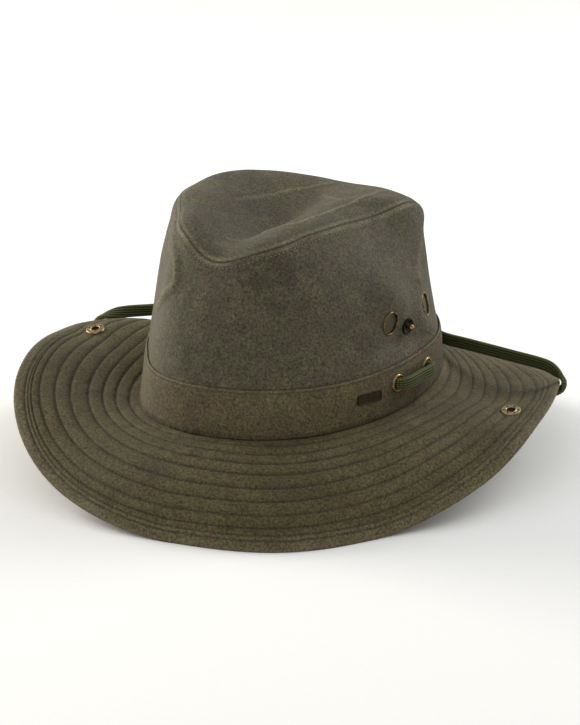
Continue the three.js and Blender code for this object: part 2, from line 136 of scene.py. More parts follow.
# Fittings on both sides of the hat, by turn and share of the crown's height.
EYELET_TURNS = (72.3, 102.1)
EYELET_RISE = 0.497
EYELET_HOLE = 6.2
EYELET_FLANGE = 7.05
GROMMET_TURNS = (71.1, 92.4)
GROMMET_RISE = 0.175
GROMMET_HOLE = 3.4
GROMMET_FLANGE = 5.5
STUD_TURN = 84.5
STUD_RISE = 0.445
SOCKET_TURN = 96.4
SOCKET_OUT = 52.3
PLATE_TURN = 55.8
PLATE_RISE = 0.154
PLATE_SIZE = (17.5, 5.8, 0.9)
FLANGE_SEAT = 0.35
BAND_COVER = GAP + BAND_CLOTH

# The chin cord is a flat braid.
CORD_WIDTH = 7.6
CORD_THICKNESS = 3.3
CORD_RIBS = 5

# Each side of the hat: the sign of its turns, and how far its fittings on the crown are set back.
SIDES = {"left": (1, 0), "right": (-1, 12)}
ENDS = ("front", "rear")


def add_object(name, data):
    made = bpy.data.objects.new(name, data)
    bpy.context.scene.collection.objects.link(made)
    return made


def towards(azimuth, elevation):
    """The way from the hat to a place round it; azimuth 0 is in front of the hat."""
    flat = math.cos(elevation)
    return Vector((math.sin(azimuth) * flat, -math.cos(azimuth) * flat, math.sin(elevation)))


# The camera stands where the photographer's did.
CAMERA_AZIMUTH = math.radians(25.5)
CAMERA_ELEVATION = math.radians(20)
CAMERA_DISTANCE = 1.731
CAMERA_AIM = Vector((-PLAN_MIDDLE[0], -PLAN_MIDDLE[1], SEAT)) * MM
CAMERA_AIM_RIGHT = 0.84 * MM
CAMERA_AIM_UP = 9.24 * MM
LENS_MM = 181.6
SENSOR_MM = 36


def make_camera():
    """A long lens at the photograph's angle, aimed a little off the hat's middle."""
    right = Vector((math.cos(CAMERA_AZIMUTH), math.sin(CAMERA_AZIMUTH), 0))
    back = towards(CAMERA_AZIMUTH, CAMERA_ELEVATION)
    up = back.cross(right)
    data = bpy.data.cameras.new("camera")
    data.lens = LENS_MM
    data.sensor_fit = "HORIZONTAL"
    data.sensor_width = SENSOR_MM
    camera = add_object("camera", data)
    axes = Matrix((right, up, back)).transposed().to_4x4()
    aim = CAMERA_AIM + right * CAMERA_AIM_RIGHT + up * CAMERA_AIM_UP
    camera.matrix_world = Matrix.Translation(aim + back * CAMERA_DISTANCE) @ axes
    bpy.context.scene.camera = camera


make_camera()


# Shape of the hat. These functions take arrays and give points in millimetres, (..., 3).


def unit(vectors):
    return vectors / np.linalg.norm(vectors, axis=-1, keepdims=True)


def even_turns(count):
    """So many angles, evenly spaced round the hat."""
    return np.arange(count) / count * FULL_TURN


def held(value):
    """A value kept between 0 and 1."""
    return np.clip(value, 0, 1)


def bell(distance, width):
    return np.exp(-(distance / width) ** 2)


def plateau(distance, width):
    """1 over most of a width and 0 beyond it."""
    return np.exp(-(distance / width) ** 4)


def around(rows, name, turn):
    """Smooth value of one column of a table at any turn, carried on round the hat."""
    at, values = rows["turn"], rows[name]
    span = (np.roll(at, -1) - at) % 360
    before = np.roll(span, 1)
    rate = (np.roll(values, -1) - values) / span
    slope = (np.roll(rate, 1) * span + rate * before) / (span + before)
    degrees = np.degrees(turn) % 360
    first = (np.searchsorted(at, degrees, side="right") - 1) % len(at)
    after = (first + 1) % len(at)
    part = ((degrees - at[first]) % 360) / span[first]
    square, cube = part ** 2, part ** 3
    return (
        (2 * cube - 3 * square + 1) * values[first]
        + (cube - 2 * square + part) * span[first] * slope[first]
        + (3 * square - 2 * cube) * values[after]
        + (cube - square) * span[first] * slope[after]
    )


def head_reach(turn):
    across = (np.abs(np.sin(turn)) / HEAD_HALF_WIDTH) ** HEAD_SQUARENESS
    along = (np.abs(np.cos(turn)) / HEAD_HALF_LENGTH) ** HEAD_SQUARENESS
    flare = HEAD_BACK_FLARE * np.cos(turn) * np.sin(turn) ** 2
    return (across + along) ** (-1 / HEAD_SQUARENESS) * (1 - flare)


def seat_height(turn):
    return SEAT - SEAT_BACK * np.cos(turn) + SEAT_ENDS * np.cos(2 * turn) + SEAT_LEFT * np.sin(turn)


def seam_height(turn):
    return SEAT + around(CROWN, "height", turn)


def stack(x, y, z):
    """Points on the hat, moved so that the middle of the brim's outline is the origin."""
    x, y, z = np.broadcast_arrays(x, y, z)
    return np.stack([x - PLAN_MIDDLE[0], y - PLAN_MIDDLE[1], z], axis=-1)


def crown_side(turn, rise, outward=0):
    """Outer face of the crown's side. rise is 0 at the brim and 1 at the tip seam."""
    foot = head_reach(turn) - BAND_COVER
    waist = head_reach(turn) - around(CROWN, "lean", turn)
    top = around(CROWN, "reach", turn)
    bulge = around(CROWN, "shoulder", turn) * rise ** 5 * (1 - rise) / SHOULDER_PEAK
    reach = (
        foot * (1 - rise) * (1 - 2 * rise)
        + waist * 4 * rise * (1 - rise)
        + top * rise * (2 * rise - 1)
        + bulge
        + outward
    )
    return stack(
        TIP_MIDDLE[0] * rise ** 2 + reach * np.sin(turn),
        TIP_MIDDLE[1] * rise ** 2 - reach * np.cos(turn),
        seat_height(turn) * (1 - rise) + seam_height(turn) * rise,
    )


def crown_tip(turn, share):
    """Outer face of the tip. share is 1 at the tip seam and 0 in the middle."""
    reach = around(CROWN, "reach", turn)
    x = TIP_MIDDLE[0] + share * reach * np.sin(turn)
    y = TIP_MIDDLE[1] - share * reach * np.cos(turn)
    inside = np.maximum((1 - share) * reach, 0)
    ridge = RIDGE_RISE * (1 - np.exp(-(inside / RIDGE_WIDTH) ** RIDGE_SHARPNESS))
    along = (y - DENT_MIDDLE[1]) / DENT_HALF_LENGTH
    across = (x - DENT_MIDDLE[0]) / DENT_HALF_WIDTH
    dent = DENT_DEPTH * np.exp(-along ** 2 - across ** 2) * (1 - share ** 8)
    height = (SEAT + TIP_HEIGHT) * (1 - share ** 2) + seam_height(turn) * share ** 2
    return stack(x, y, height + ridge - dent)


def crown_angle(side, turn):
    """Angle round the hat of a fitting on one side of the crown, or of the cord beside it."""
    sign, back = SIDES[side]
    return np.radians(sign * (turn + back))


def away_from_head(turn):
    """Direction in plan straight out from the head oval."""
    small = 0.001

    def oval(angle):
        return head_reach(angle) * np.sin(angle), -head_reach(angle) * np.cos(angle)

    x_after, y_after = oval(turn + small)
    x_before, y_before = oval(turn - small)
    return unit(np.stack([y_after - y_before, x_before - x_after], axis=-1))


BRIM_STEPS = 146


def brim_face(turn, out):
    """The brim's top face and its normal at turns (n,) and distances out from the crown (m, n)."""
    inner = np.radians(around(BRIM, "inner", turn))
    outer = np.radians(around(BRIM, "outer", turn))
    share = (np.arange(BRIM_STEPS)[:, None] + 0.5) / BRIM_STEPS
    slope = inner * (1 - share) + outer * share
    step = BRIM_WIDTH / BRIM_STEPS
    nothing = np.zeros((1, slope.shape[1]))
    plan = np.concatenate([nothing, np.cumsum(np.cos(slope) * step, axis=0)])
    fall = np.concatenate([nothing, np.cumsum(np.sin(slope) * step, axis=0)])
    deepest = fall[-1]
    rests = (deepest > 0) & (deepest > seat_height(turn))
    fall = fall * np.where(rests, seat_height(turn) / np.where(rests, deepest, 1), 1)
    at = np.clip(out / step, 0, BRIM_STEPS - 1e-6)
    low = at.astype(int)
    part = at - low
    column = np.arange(slope.shape[1])[None, :]
    plan_at = plan[low, column] * (1 - part) + plan[low + 1, column] * part + np.minimum(out, 0)
    fall_at = fall[low, column] * (1 - part) + fall[low + 1, column] * part
    angle = np.where(out > 0, inner * (1 - out / BRIM_WIDTH) + outer * out / BRIM_WIDTH, 0)
    away = away_from_head(turn)
    points = stack(
        head_reach(turn) * np.sin(turn) + away[:, 0] * plan_at,
        -head_reach(turn) * np.cos(turn) + away[:, 1] * plan_at,
        seat_height(turn) - fall_at,
    )
    flat = np.sin(angle)
    return points, np.stack([away[:, 0] * flat, away[:, 1] * flat, np.cos(angle)], axis=-1)


def normal_of(surface, turn, second, small=0.002):
    """Outward normal of a face given as a function of turn and a second value."""
    sideways = surface(turn + small, second) - surface(turn - small, second)
    upwards = surface(turn, second + small) - surface(turn, second - small)
    return unit(np.cross(sideways, upwards))


# The cord's route: that of the solids' round cord, and closer to the brim's edge on the left,
# where the flat braid has room. wide: 1 where the braid's width runs up the crown, 0 where it
# runs round the hat.
CORD_AT_BAND = table(
    "turn rise out wide",
    (71.1, 0.175, -2.6, 1),
    (71.1, 0.175, 0.5, 1),
    (71.2, 0.175, 3.1, 1),
    (71.8, 0.176, 5.1, 1),
    (73.4, 0.177, 6.2, 1),
    (76.6, 0.178, 6.5, 1),
    (82, 0.18, 6.4, 1),
    (87, 0.178, 6.9, 1),
    (90, 0.177, 6.8, 1),
    (91.8, 0.176, 5.6, 1),
    (92.4, 0.175, 3.3, 1),
    (92.4, 0.175, 0.5, 1),
    (92.2, 0.174, -2.4, 0.8),
    (92.5, 0.155, -5.8, 0.3),
    (93.5, 0.11, -6.6, 0),
    (94.4, 0.04, -6.6, 0),
    (95.8, -0.03, -5.9, 0),
    (97.2, -0.078, -3.2, 0),
)
CORD_UNDER_BRIM = table(
    "share left right out",
    (0.08, 99.3, 110.6, -6.4),
    (0.22, 104, 111.8, -5.8),
    (0.42, 109.6, 112, -5.6),
    (0.64, 114.8, 111.6, -5.6),
    (0.84, 117.8, 111.2, -5.8),
)
CORD_OVER_BRIM = {
    "left": table(
        "x y z wide",
        (140.4, 66.7, 36.2, 0),
        (144.6, 67.4, 37.7, 0),
        (147.5, 67.9, 40.6, 0),
        (148, 68, 44.2, 0),
        (146, 68, 46.9, 0.35),
        (142.4, 68.3, 49.5, 0.75),
        (137.4, 68.7, 51.9, 0.95),
        (112.5, 70.4, 54.3, 1),
        (86, 72.2, 56.3, 1),
    ),
    "right": table(
        "x y z wide",
        (-147, 46.2, 37, 0),
        (-152, 47.2, 36, 0),
        (-155.2, 48, 38.4, 0),
        (-155.8, 48.5, 41.6, 0),
        (-153.6, 49.4, 45.2, 0.1),
        (-147.6, 51, 47.8, 0.35),
        (-137, 54.4, 50, 0.7),
        (-122.5, 58.7, 51.9, 1),
        (-94.5, 67.3, 55.9, 1),
    ),
}
CORD_BACK = table(
    "turn out height",
    (138.2, 3.8, 57.6),
    (150, 3.1, 59),
    (165, 3.1, 60),
    (180, 3.1, 60.4),
    (195, 3.1, 60.4),
    (210, 3.3, 60),
    (221, 4.4, 59),
)


def round_the_hat(turn):
    return np.stack([np.cos(turn), np.sin(turn), np.zeros_like(turn)], axis=-1)


def wide_side(up, turn, wide):
    """Direction of the braid's width, between the way up and the way round the hat."""
    return up * wide[:, None] - round_the_hat(turn) * (1 - wide[:, None])


def cord_side(name):
    """The route's points on one side and the direction of the braid's width at each."""
    sign, _ = SIDES[name]
    rows = CORD_AT_BAND
    turn = crown_angle(name, rows["turn"])
    normal = normal_of(crown_side, turn, np.maximum(rows["rise"], 0))
    at_band = crown_side(turn, rows["rise"]) + normal * rows["out"][:, None]
    width_at_band = wide_side(np.cross(normal, round_the_hat(turn)), turn, rows["wide"])
    rows = CORD_UNDER_BRIM
    turn = sign * np.radians(rows[name])
    point, normal = brim_face(turn, np.broadcast_to(rows["share"] * BRIM_WIDTH, (1, len(turn))))
    under = point[0] + normal[0] * rows["out"][:, None]
    width_under = -round_the_hat(turn)
    rows = CORD_OVER_BRIM[name]
    over = stack(rows["x"], rows["y"], rows["z"])
    width_over = wide_side(np.array([0, 0, 1.0]), np.arctan2(rows["x"], -rows["y"]), rows["wide"])
    points = np.concatenate([at_band, under, over])
    return points, np.concatenate([width_at_band, width_under, width_over])


def cord_route():
    left, left_width = cord_side("left")
    right, right_width = cord_side("right")
    turn = np.radians(CORD_BACK["turn"])
    reach = head_reach(turn) + CORD_BACK["out"]
    back = stack(reach * np.sin(turn), -reach * np.cos(turn), CORD_BACK["height"])
    upright = np.tile([0, 0, 1.0], (len(back), 1))
    return (
        np.concatenate([left, back, right[::-1]]),
        np.concatenate([left_width, upright, right_width[::-1]]),
    )


def through_points(points, along):
    """A smooth curve through points, one value of along for each and fractions between them."""
    before = 2 * points[:1] - points[1:2]
    after = 2 * points[-1:] - points[-2:-1]
    knots = np.concatenate([before, points, after])
    start = np.clip(along.astype(int), 0, len(points) - 2)
    part = (along - start)[:, None]
    p0, p1, p2, p3 = (knots[start + i] for i in range(4))

    def chord(a, b):
        return np.sqrt(np.linalg.norm(b - a, axis=1, keepdims=True))

    d0, d1, d2 = chord(p0, p1), chord(p1, p2), chord(p2, p3)
    m1 = ((p1 - p0) / d0 - (p2 - p0) / (d0 + d1) + (p2 - p1) / d1) * d1
    m2 = ((p2 - p1) / d1 - (p3 - p1) / (d1 + d2) + (p3 - p2) / d2) * d1
    return (
        p1
        + m1 * part
        + (3 * (p2 - p1) - 2 * m1 - m2) * part ** 2
        + (2 * (p1 - p2) + m1 + m2) * part ** 3
    )


def travelled(line):
    """Distance along a line to each of its points."""
    return np.concatenate([[0], np.cumsum(np.linalg.norm(np.diff(line, axis=0), axis=1))])


def even_steps(line, spacing):
    """Places along a line, as fractions of its points, that lie the same distance apart."""
    far = travelled(line)
    count = max(int(round(far[-1] / spacing)), 2)
    return np.interp(np.linspace(0, far[-1], count + 1), far, np.arange(len(line)))


def at_fraction(values, places):
    low = np.clip(places.astype(int), 0, len(values) - 2)
    part = (places - low)[:, None]
    return values[low] * (1 - part) + values[low + 1] * part


# Meshes.


def new_object(name, verts, faces):
    """A smooth mesh object at the origin, from points in millimetres."""
    mesh = bpy.data.meshes.new(name)
    mesh.from_pydata((np.asarray(verts) * MM).tolist(), [], faces)
    mesh.validate()
    mesh.update()
    mesh.shade_smooth()
    return add_object(name, mesh)


def ring_faces(rings, sides, closed=False):
    """Faces between rings of so many points each, closed where the last meets the first."""
    faces = []
    for i in range(rings if closed else rings - 1):
        after = (i + 1) % rings
        for j in range(sides):
            k = (j + 1) % sides
            faces.append((i * sides + j, i * sides + k, after * sides + k, after * sides + j))
    return faces


def deselect():
    bpy.ops.object.select_all(action="DESELECT")


def make_active(*pieces):
    """Selects pieces and makes the first of them active."""
    deselect()
    for piece in pieces:
        piece.select_set(True)
    bpy.context.view_layer.objects.active = pieces[0]


def joined(pieces):
    make_active(*pieces)
    bpy.ops.object.join()
    return pieces[0]


def primitive(name, operator, **settings):
    """What one of Blender's primitive operators adds, under a name of its own."""
    deselect()
    operator(**settings)
    piece = bpy.context.active_object
    piece.name = piece.data.name = name
    return piece


def edit_all():
    bpy.ops.object.mode_set(mode="EDIT")
    bpy.ops.mesh.select_all(action="SELECT")


def edit_some(piece, kind, parts, wanted):
    """Opens a piece for editing with the edges or faces selected for which wanted is true."""
    bpy.ops.object.mode_set(mode="EDIT")
    bpy.ops.mesh.select_mode(type=kind)
    bpy.ops.mesh.select_all(action="DESELECT")
    bpy.ops.object.mode_set(mode="OBJECT")
    for part in getattr(piece.data, parts):
        part.select = wanted(part)
    bpy.ops.object.mode_set(mode="EDIT")


def close_up(threshold):
    """Joins the points of the active piece that lie together and turns its faces outward."""
    edit_all()
    bpy.ops.mesh.remove_doubles(threshold=threshold)
    bpy.ops.mesh.normals_make_consistent(inside=False)
    bpy.ops.object.mode_set(mode="OBJECT")


def finish_piece(piece, material, slot, *nodes):
    """Gives a piece its material and hides the solids that it stands for; slot is not used."""
    piece.data.materials.append(material)
    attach(piece, "root")
    if nodes:
        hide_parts(*nodes)
    return piece


def set_points(piece, points):
    piece.data.vertices.foreach_set("co", (points.reshape(-1, 3) * MM).astype(np.float32).ravel())
    piece.data.update()


def set_attribute(piece, name, values):
    layer = piece.data.attributes.new(name, "FLOAT", "POINT")
    layer.data.foreach_set("value", np.ascontiguousarray(values, np.float32).ravel())


def ring_piece(name, points, painted_shade, wear_and_highlight):
    """A closed ring of cloth from a grid of points, (turns, places round the section, 3)."""
    turns, section = points.shape[:2]
    piece = primitive(
        name, bpy.ops.mesh.primitive_grid_add, x_subdivisions=section, y_subdivisions=turns, size=1
    )

    def closed(values):
        values = np.concatenate([values, values[:1]])
        return np.concatenate([values, values[:, :1]], axis=1)

    set_points(piece, closed(points))
    set_attribute(piece, "painted_shade", closed(painted_shade))
    set_attribute(piece, "wear_and_highlight", closed(wear_and_highlight))
    close_up(0.0005 * MM)
    piece.data.shade_smooth()
    return piece


def lid_piece(name, turns, rings):
    """A ball ready to take the tip's shape, and the turn and ring of each of its points."""
    piece = primitive(
        name, bpy.ops.mesh.primitive_uv_sphere_add, segments=turns, ring_count=rings, radius=1
    )
    piece.data.shade_smooth()
    points = np.empty(len(piece.data.vertices) * 3)
    piece.data.vertices.foreach_get("co", points)
    points = points.reshape(-1, 3)
    turn = np.arctan2(points[:, 0], -points[:, 1])
    ring = np.arccos(np.clip(points[:, 2], -1, 1)) / math.pi
    return piece, turn, ring


def cloud(points, size, seed):
    """Soft random value from about -0.5 to 0.5 at each point, with lumps of a size in mm."""
    shifted = points.reshape(-1, 3) / size + seed * 17.3
    values = [noise.noise(Vector(point)) / 2 for point in shifted]
    return np.array(values).reshape(points.shape[:-1])


def off_line(points, line):
    """Distance of each point from a line of straight pieces."""
    nearest = np.full(points.shape[:-1], np.inf)
    for start, end in zip(line, line[1:]):
        way = end - start
        share = held(np.sum((points - start) * way, axis=-1) / np.sum(way ** 2))
        foot = start + share[..., None] * way
        nearest = np.minimum(nearest, np.linalg.norm(points - foot, axis=-1))
    return nearest


# Materials.


def colour(text):
    """A colour for a node socket from its sRGB hex value."""
    parts = [int(text[i:i + 2], 16) / 255 for i in (0, 2, 4)]
    linear = [p / 12.92 if p <= 0.04045 else ((p + 0.055) / 1.055) ** 2.4 for p in parts]
    return (*linear, 1)


def feed(tree, node, inputs):
    """Sets a node's inputs: to the socket each is linked from, a value or a colour's hex value."""
    for name, value in inputs.items():
        if isinstance(value, bpy.types.NodeSocket):
            tree.links.new(value, node.inputs[name])
        else:
            node.inputs[name].default_value = colour(value) if isinstance(value, str) else value


# What the materials are made of: for each kind of node, the inputs that a call of add gives values
# for, the output that is read from it, and the settings that stay the same. A Mix node's colour
# sockets share their names with others, so they go by their numbers.
NODE_KINDS = {
    "TexCoord": ((), "Object", {}),
    "UVMap": ((), "UV", {}),
    "Attribute": ((), "Fac", {}),
    "TexNoise": (("Vector", "Scale", "Detail", "Roughness"), "Fac", {}),
    "TexWave": (("Vector", "Scale", "Distortion", "Detail"), "Fac", {}),
    "TexChecker": (("Vector", "Scale", "Color1", "Color2"), "Color", {}),
    "MapRange": (("Value", "From Min", "From Max", "To Min", "To Max"), "Result", {}),
    "Math": ((0, 1), 0, {}),
    "Mix": ((0, 6, 7), 2, {"data_type": "RGBA"}),
    "Bump": (("Height", "Strength", "Distance", "Normal"), "Normal", {}),
}


def add(tree, kind, *values, **settings):
    """Adds a node with its settings and links, and gives its output."""
    inputs, output, always = NODE_KINDS[kind]
    made = tree.nodes.new(f"ShaderNode{kind}")
    for name, value in {**always, **settings}.items():
        setattr(made, name, value)
    feed(tree, made, dict(zip(inputs, values)))
    return made.outputs[output]


def start_material(name):
    material = bpy.data.materials.new(name)
    material.use_nodes = True
    tree = material.node_tree
    tree.nodes.clear()
    shader = tree.nodes.new("ShaderNodeBsdfPrincipled")
    result = tree.nodes.new("ShaderNodeOutputMaterial")
    feed(tree, result, {"Surface": shader.outputs["BSDF"]})
    return material, tree, shader, add(tree, "TexCoord")


def per_mm(size):
    """Scale of a pattern on Object coordinates whose repeat is so many millimetres."""
    return 1 / (size * MM)


def oilskin(name, dark, middle, light, worn_and_highlit, rough):
    """Waxed cotton, dark where the wax lies thick and paler where it is rubbed off, with painted
    highlights along the crests of creases and painted shade in seam gaps, stitched grooves and on
    the inside. The weave is too fine to see, and a peppery grain is all that shows of it."""
    material, tree, shader, where = start_material(name)
    blots = add(tree, "TexNoise", where, per_mm(11), 4.0, 0.6)
    pepper = add(tree, "TexNoise", where, per_mm(1.4), 3.0, 0.85)
    patches = add(tree, "TexNoise", where, per_mm(38), 3.0, 0.55)
    stains = add(tree, "TexNoise", where, per_mm(16), 3.0, 0.6)
    swells = add(tree, "TexNoise", where, per_mm(6), 3.0, 0.6)
    wear_and_highlight = add(tree, "Attribute", attribute_name="wear_and_highlight")
    # Painted shade: darkens seam gaps, stitched grooves, the band's foot and the cloth's inner
    # side.
    painted_shade = add(tree, "Attribute", attribute_name="painted_shade")
    base = add(tree, "Mix", add(tree, "MapRange", patches, 0.32, 0.7), dark, middle)
    base = add(tree, "Mix", add(tree, "MapRange", blots, 0.45, 0.8, 0.0, 0.5), base, light)
    # Paler where the wax is rubbed off, and where a highlight is painted along the crests of
    # creases.
    base = add(tree, "Mix", wear_and_highlight, base, worn_and_highlit)
    # The stain tint, the grain and the painted shade multiply the colour.
    for tone in (
        add(tree, "Mix", add(tree, "MapRange", stains, 0.38, 0.62), "fbffe2", "fff2ea"),
        add(tree, "MapRange", pepper, 0.33, 0.67, 0.25, 1.75),
        add(tree, "MapRange", painted_shade, 0.0, 1.0, 1.0, 0.35),
    ):
        base = add(tree, "Mix", 1.0, base, tone, blend_type="MULTIPLY")
    soft = add(tree, "Bump", swells, 0.25, 0.6 * MM)
    feed(tree, shader, {
        "Base Color": base,
        "Roughness": add(tree, "MapRange", blots, 0.3, 0.7, rough - 0.05, rough + 0.05),
        "Normal": add(tree, "Bump", pepper, 0.5, 0.25 * MM, soft),
        "Specular IOR Level": 0.35,
        "Sheen Weight": 0.03,
    })
    return material


def antique_metal(name, dark, bright, rough):
    """Cast and plated metal with a brown patina left in its low places."""
    material, tree, shader, where = start_material(name)
    stain = add(tree, "TexNoise", where, per_mm(2.4), 4.0, 0.65)
    wear = add(tree, "MapRange", stain, 0.35, 0.68)
    feed(tree, shader, {
        "Base Color": add(tree, "Mix", wear, dark, bright),
        "Roughness": add(tree, "MapRange", stain, 0.3, 0.7, rough + 0.12, rough - 0.06),
        "Normal": add(tree, "Bump", stain, 0.08, 0.15 * MM),
        "Metallic": 1.0,
    })
    return material


# Strands of the braid in each millimetre of its map, before Blender's own factor.
STRAND_RATE = 2.6


def braided_cotton(name, dark, light):
    """Flat braid of cotton yarns: slanting strands on each rib, with painted shade between the
    ribs.
    """
    material, tree, shader, where = start_material(name)
    lay = add(tree, "UVMap", uv_map="braid")
    strands = add(
        tree, "TexWave", lay, STRAND_RATE / FULL_TURN, 0.9, 1.0,
        wave_type="BANDS", bands_direction="DIAGONAL", wave_profile="SIN",
    )
    fluff = add(tree, "TexNoise", where, per_mm(0.9), 3.0, 0.7)
    fluff = add(tree, "MapRange", fluff, 0.3, 0.65, 0.6, 1.0)
    laid = add(tree, "MapRange", strands, 0.0, 1.0, 0.4, 1.0)
    both = add(tree, "Math", laid, fluff, operation="MULTIPLY")
    # Painted shade in the grooves between the ribs.
    painted_shade = add(tree, "Attribute", attribute_name="painted_shade")
    shade = add(tree, "MapRange", painted_shade, 0.0, 0.9, 1.0, 0.08)
    base = add(tree, "Mix", both, dark, light)
    feed(tree, shader, {
        "Base Color": add(tree, "Mix", 1.0, base, shade, blend_type="MULTIPLY"),
        "Normal": add(tree, "Bump", both, 0.7, 0.4 * MM),
        "Roughness": 0.85,
        "Specular IOR Level": 0.3,
        "Sheen Weight": 0.05,
    })
    return material


def sewing_thread(name, shade):
    """Twisted cotton thread, dulled by the wax it was drawn through."""
    material, tree, shader, where = start_material(name)
    ply = add(tree, "TexNoise", where, per_mm(0.8), 2.0, 0.6)
    ply = add(tree, "MapRange", ply, 0.3, 0.7, 0.7, 1.3)
    base = add(tree, "Mix", 1.0, shade, ply, blend_type="MULTIPLY")
    feed(tree, shader, {"Base Color": base, "Roughness": 0.75})
    return material


def wire_gauze(name, wire, gap):
    """Fine woven gauze: the wires are drawn 0.9 mm apart, coarser than real, so that they show."""
    material, tree, shader, where = start_material(name)
    wires = add(tree, "TexChecker", where, per_mm(0.9), wire, gap)
    feed(tree, shader, {
        "Base Color": wires,
        "Normal": add(tree, "Bump", wires.node.outputs["Fac"], 0.4, 0.2 * MM),
        "Roughness": 0.6,
        "Metallic": 0.1,
    })
    return material


CROWN_OILSKIN = oilskin("oilskin of the crown", "423f33", "504b3e", "686355", "928c72", 0.8)
BAND_OILSKIN = oilskin("oilskin of the band", "484030", "574e3a", "69604a", "80775b", 0.78)
BRIM_OILSKIN = oilskin("oilskin of the brim", "433d28", "524b32", "655e43", "756f5d", 0.8)
ANTIQUE_BRASS = antique_metal("antique brass", "6a5730", "bda96d", 0.34)
BROWNED_BRASS = antique_metal("browned brass", "43371f", "94814c", 0.3)
PALE_BRASS = antique_metal("pale brass", "8a7452", "d2bb90", 0.36)
DARK_BRONZE = antique_metal("dark bronzed steel", "352e25", "433b30", 0.42)
BLACK_BRASS = antique_metal("blackened brass", "15120d", "352e24", 0.4)
CORD_BRAID = braided_cotton("braided cotton cord", "23270f", "747a45")
PALE_THREAD = sewing_thread("waxed sewing thread of the crown", "7c765f")
DARK_THREAD = sewing_thread("waxed sewing thread of the brim", "3f3a29")
GAUZE = wire_gauze("painted wire gauze", "4b432d", "342d1b")


# The chin cord comes first of the pieces.

CORD_SIDES = 60
CORD_STEP = 1.6
# Points of the smooth curve that the steps are measured on.
CORD_CURVE_POINTS = 6000
# How much thicker the braid is where a grommet squeezes it, and over what distance.
SQUEEZE = 0.6
SQUEEZE_REACH = 5


def braid_map(piece, across, along):
    """Lays the braid's map over a piece, from millimetres across and along at its points."""
    corner = np.empty(len(piece.data.loops), int)
    piece.data.loops.foreach_get("vertex_index", corner)
    lay = piece.data.uv_layers.new(name="braid")
    lay.data.foreach_set("uv", np.stack([across, along], axis=1)[corner].astype(np.float32).ravel())


def flat_braid(name, line, width, thickness):
    """A flat ribbed tube along a line; width gives the direction of its wide side."""
    tangent = unit(np.gradient(line, axis=0))
    width = unit(width - tangent * np.sum(width * tangent, axis=1, keepdims=True))
    face = np.cross(tangent, width)
    angle = even_turns(CORD_SIDES)
    across = np.sign(np.cos(angle)) * np.abs(np.cos(angle)) ** 0.8
    up = np.sign(np.sin(angle)) * np.abs(np.sin(angle)) ** 0.62
    groove = 0.5 + 0.5 * np.cos(FULL_TURN * CORD_RIBS * (across + 1) / 2)
    groove = groove ** 0.9 * np.abs(np.sin(angle)) ** 0.5
    up = up * (1 - 0.3 * groove)
    thickness = thickness[:, None, None]
    points = (
        line[:, None]
        + width[:, None] * across[None, :, None] * CORD_WIDTH / 2 * thickness ** -0.35
        + face[:, None] * up[None, :, None] * CORD_THICKNESS / 2 * thickness
    )
    rings = len(line)
    faces = ring_faces(rings, CORD_SIDES)
    last = (rings - 1) * CORD_SIDES
    middle = rings * CORD_SIDES
    for j in range(CORD_SIDES):
        k = (j + 1) % CORD_SIDES
        faces += [(middle, k, j), (middle + 1, last + j, last + k)]
    piece = new_object(name, [*points.reshape(-1, 3), line[0], line[-1]], faces)
    # Painted shade in the grooves between the ribs, half of it at the middles of the end caps.
    set_attribute(piece, "painted_shade", np.concatenate([np.tile(groove, rings), [0.5, 0.5]]))
    point = np.arange(middle + 2)
    side = across[point % CORD_SIDES] * CORD_WIDTH / 2
    braid_map(piece, np.abs(side), travelled(line)[np.minimum(point // CORD_SIDES, rings - 1)])
    return piece


def make_cord():
    knots, widths = cord_route()
    fine = through_points(knots, np.linspace(0, len(knots) - 1, CORD_CURVE_POINTS))
    places = even_steps(fine, CORD_STEP)
    line = at_fraction(fine, places)
    along = places / (len(fine) - 1) * (len(knots) - 1)
    width = at_fraction(widths, along)
    holes = [crown_side(crown_angle(s, t), GROMMET_RISE) for t in GROMMET_TURNS for s in SIDES]
    near = sum(plateau(np.linalg.norm(line - hole, axis=1), SQUEEZE_REACH) for hole in holes)
    piece = flat_braid("chin_cord_braid", line, width, 1 + SQUEEZE * held(near))
    finish_piece(piece, CORD_BRAID, "cord_braid", "chin_cord")
    tied = [
        make_knot("left", line[0], line[0] - line[3]),
        make_knot("right", line[-1], line[-1] - line[-4]),
    ]


KNOT_REACH = 2.9
KNOT_STRAND = 1.9
KNOT_POINTS = 72
KNOT_SIDES = 14
# Millimetres across and along the braid's map from one side or point of the knot to the next.
KNOT_MAP_STEP = (0.9, 0.5)


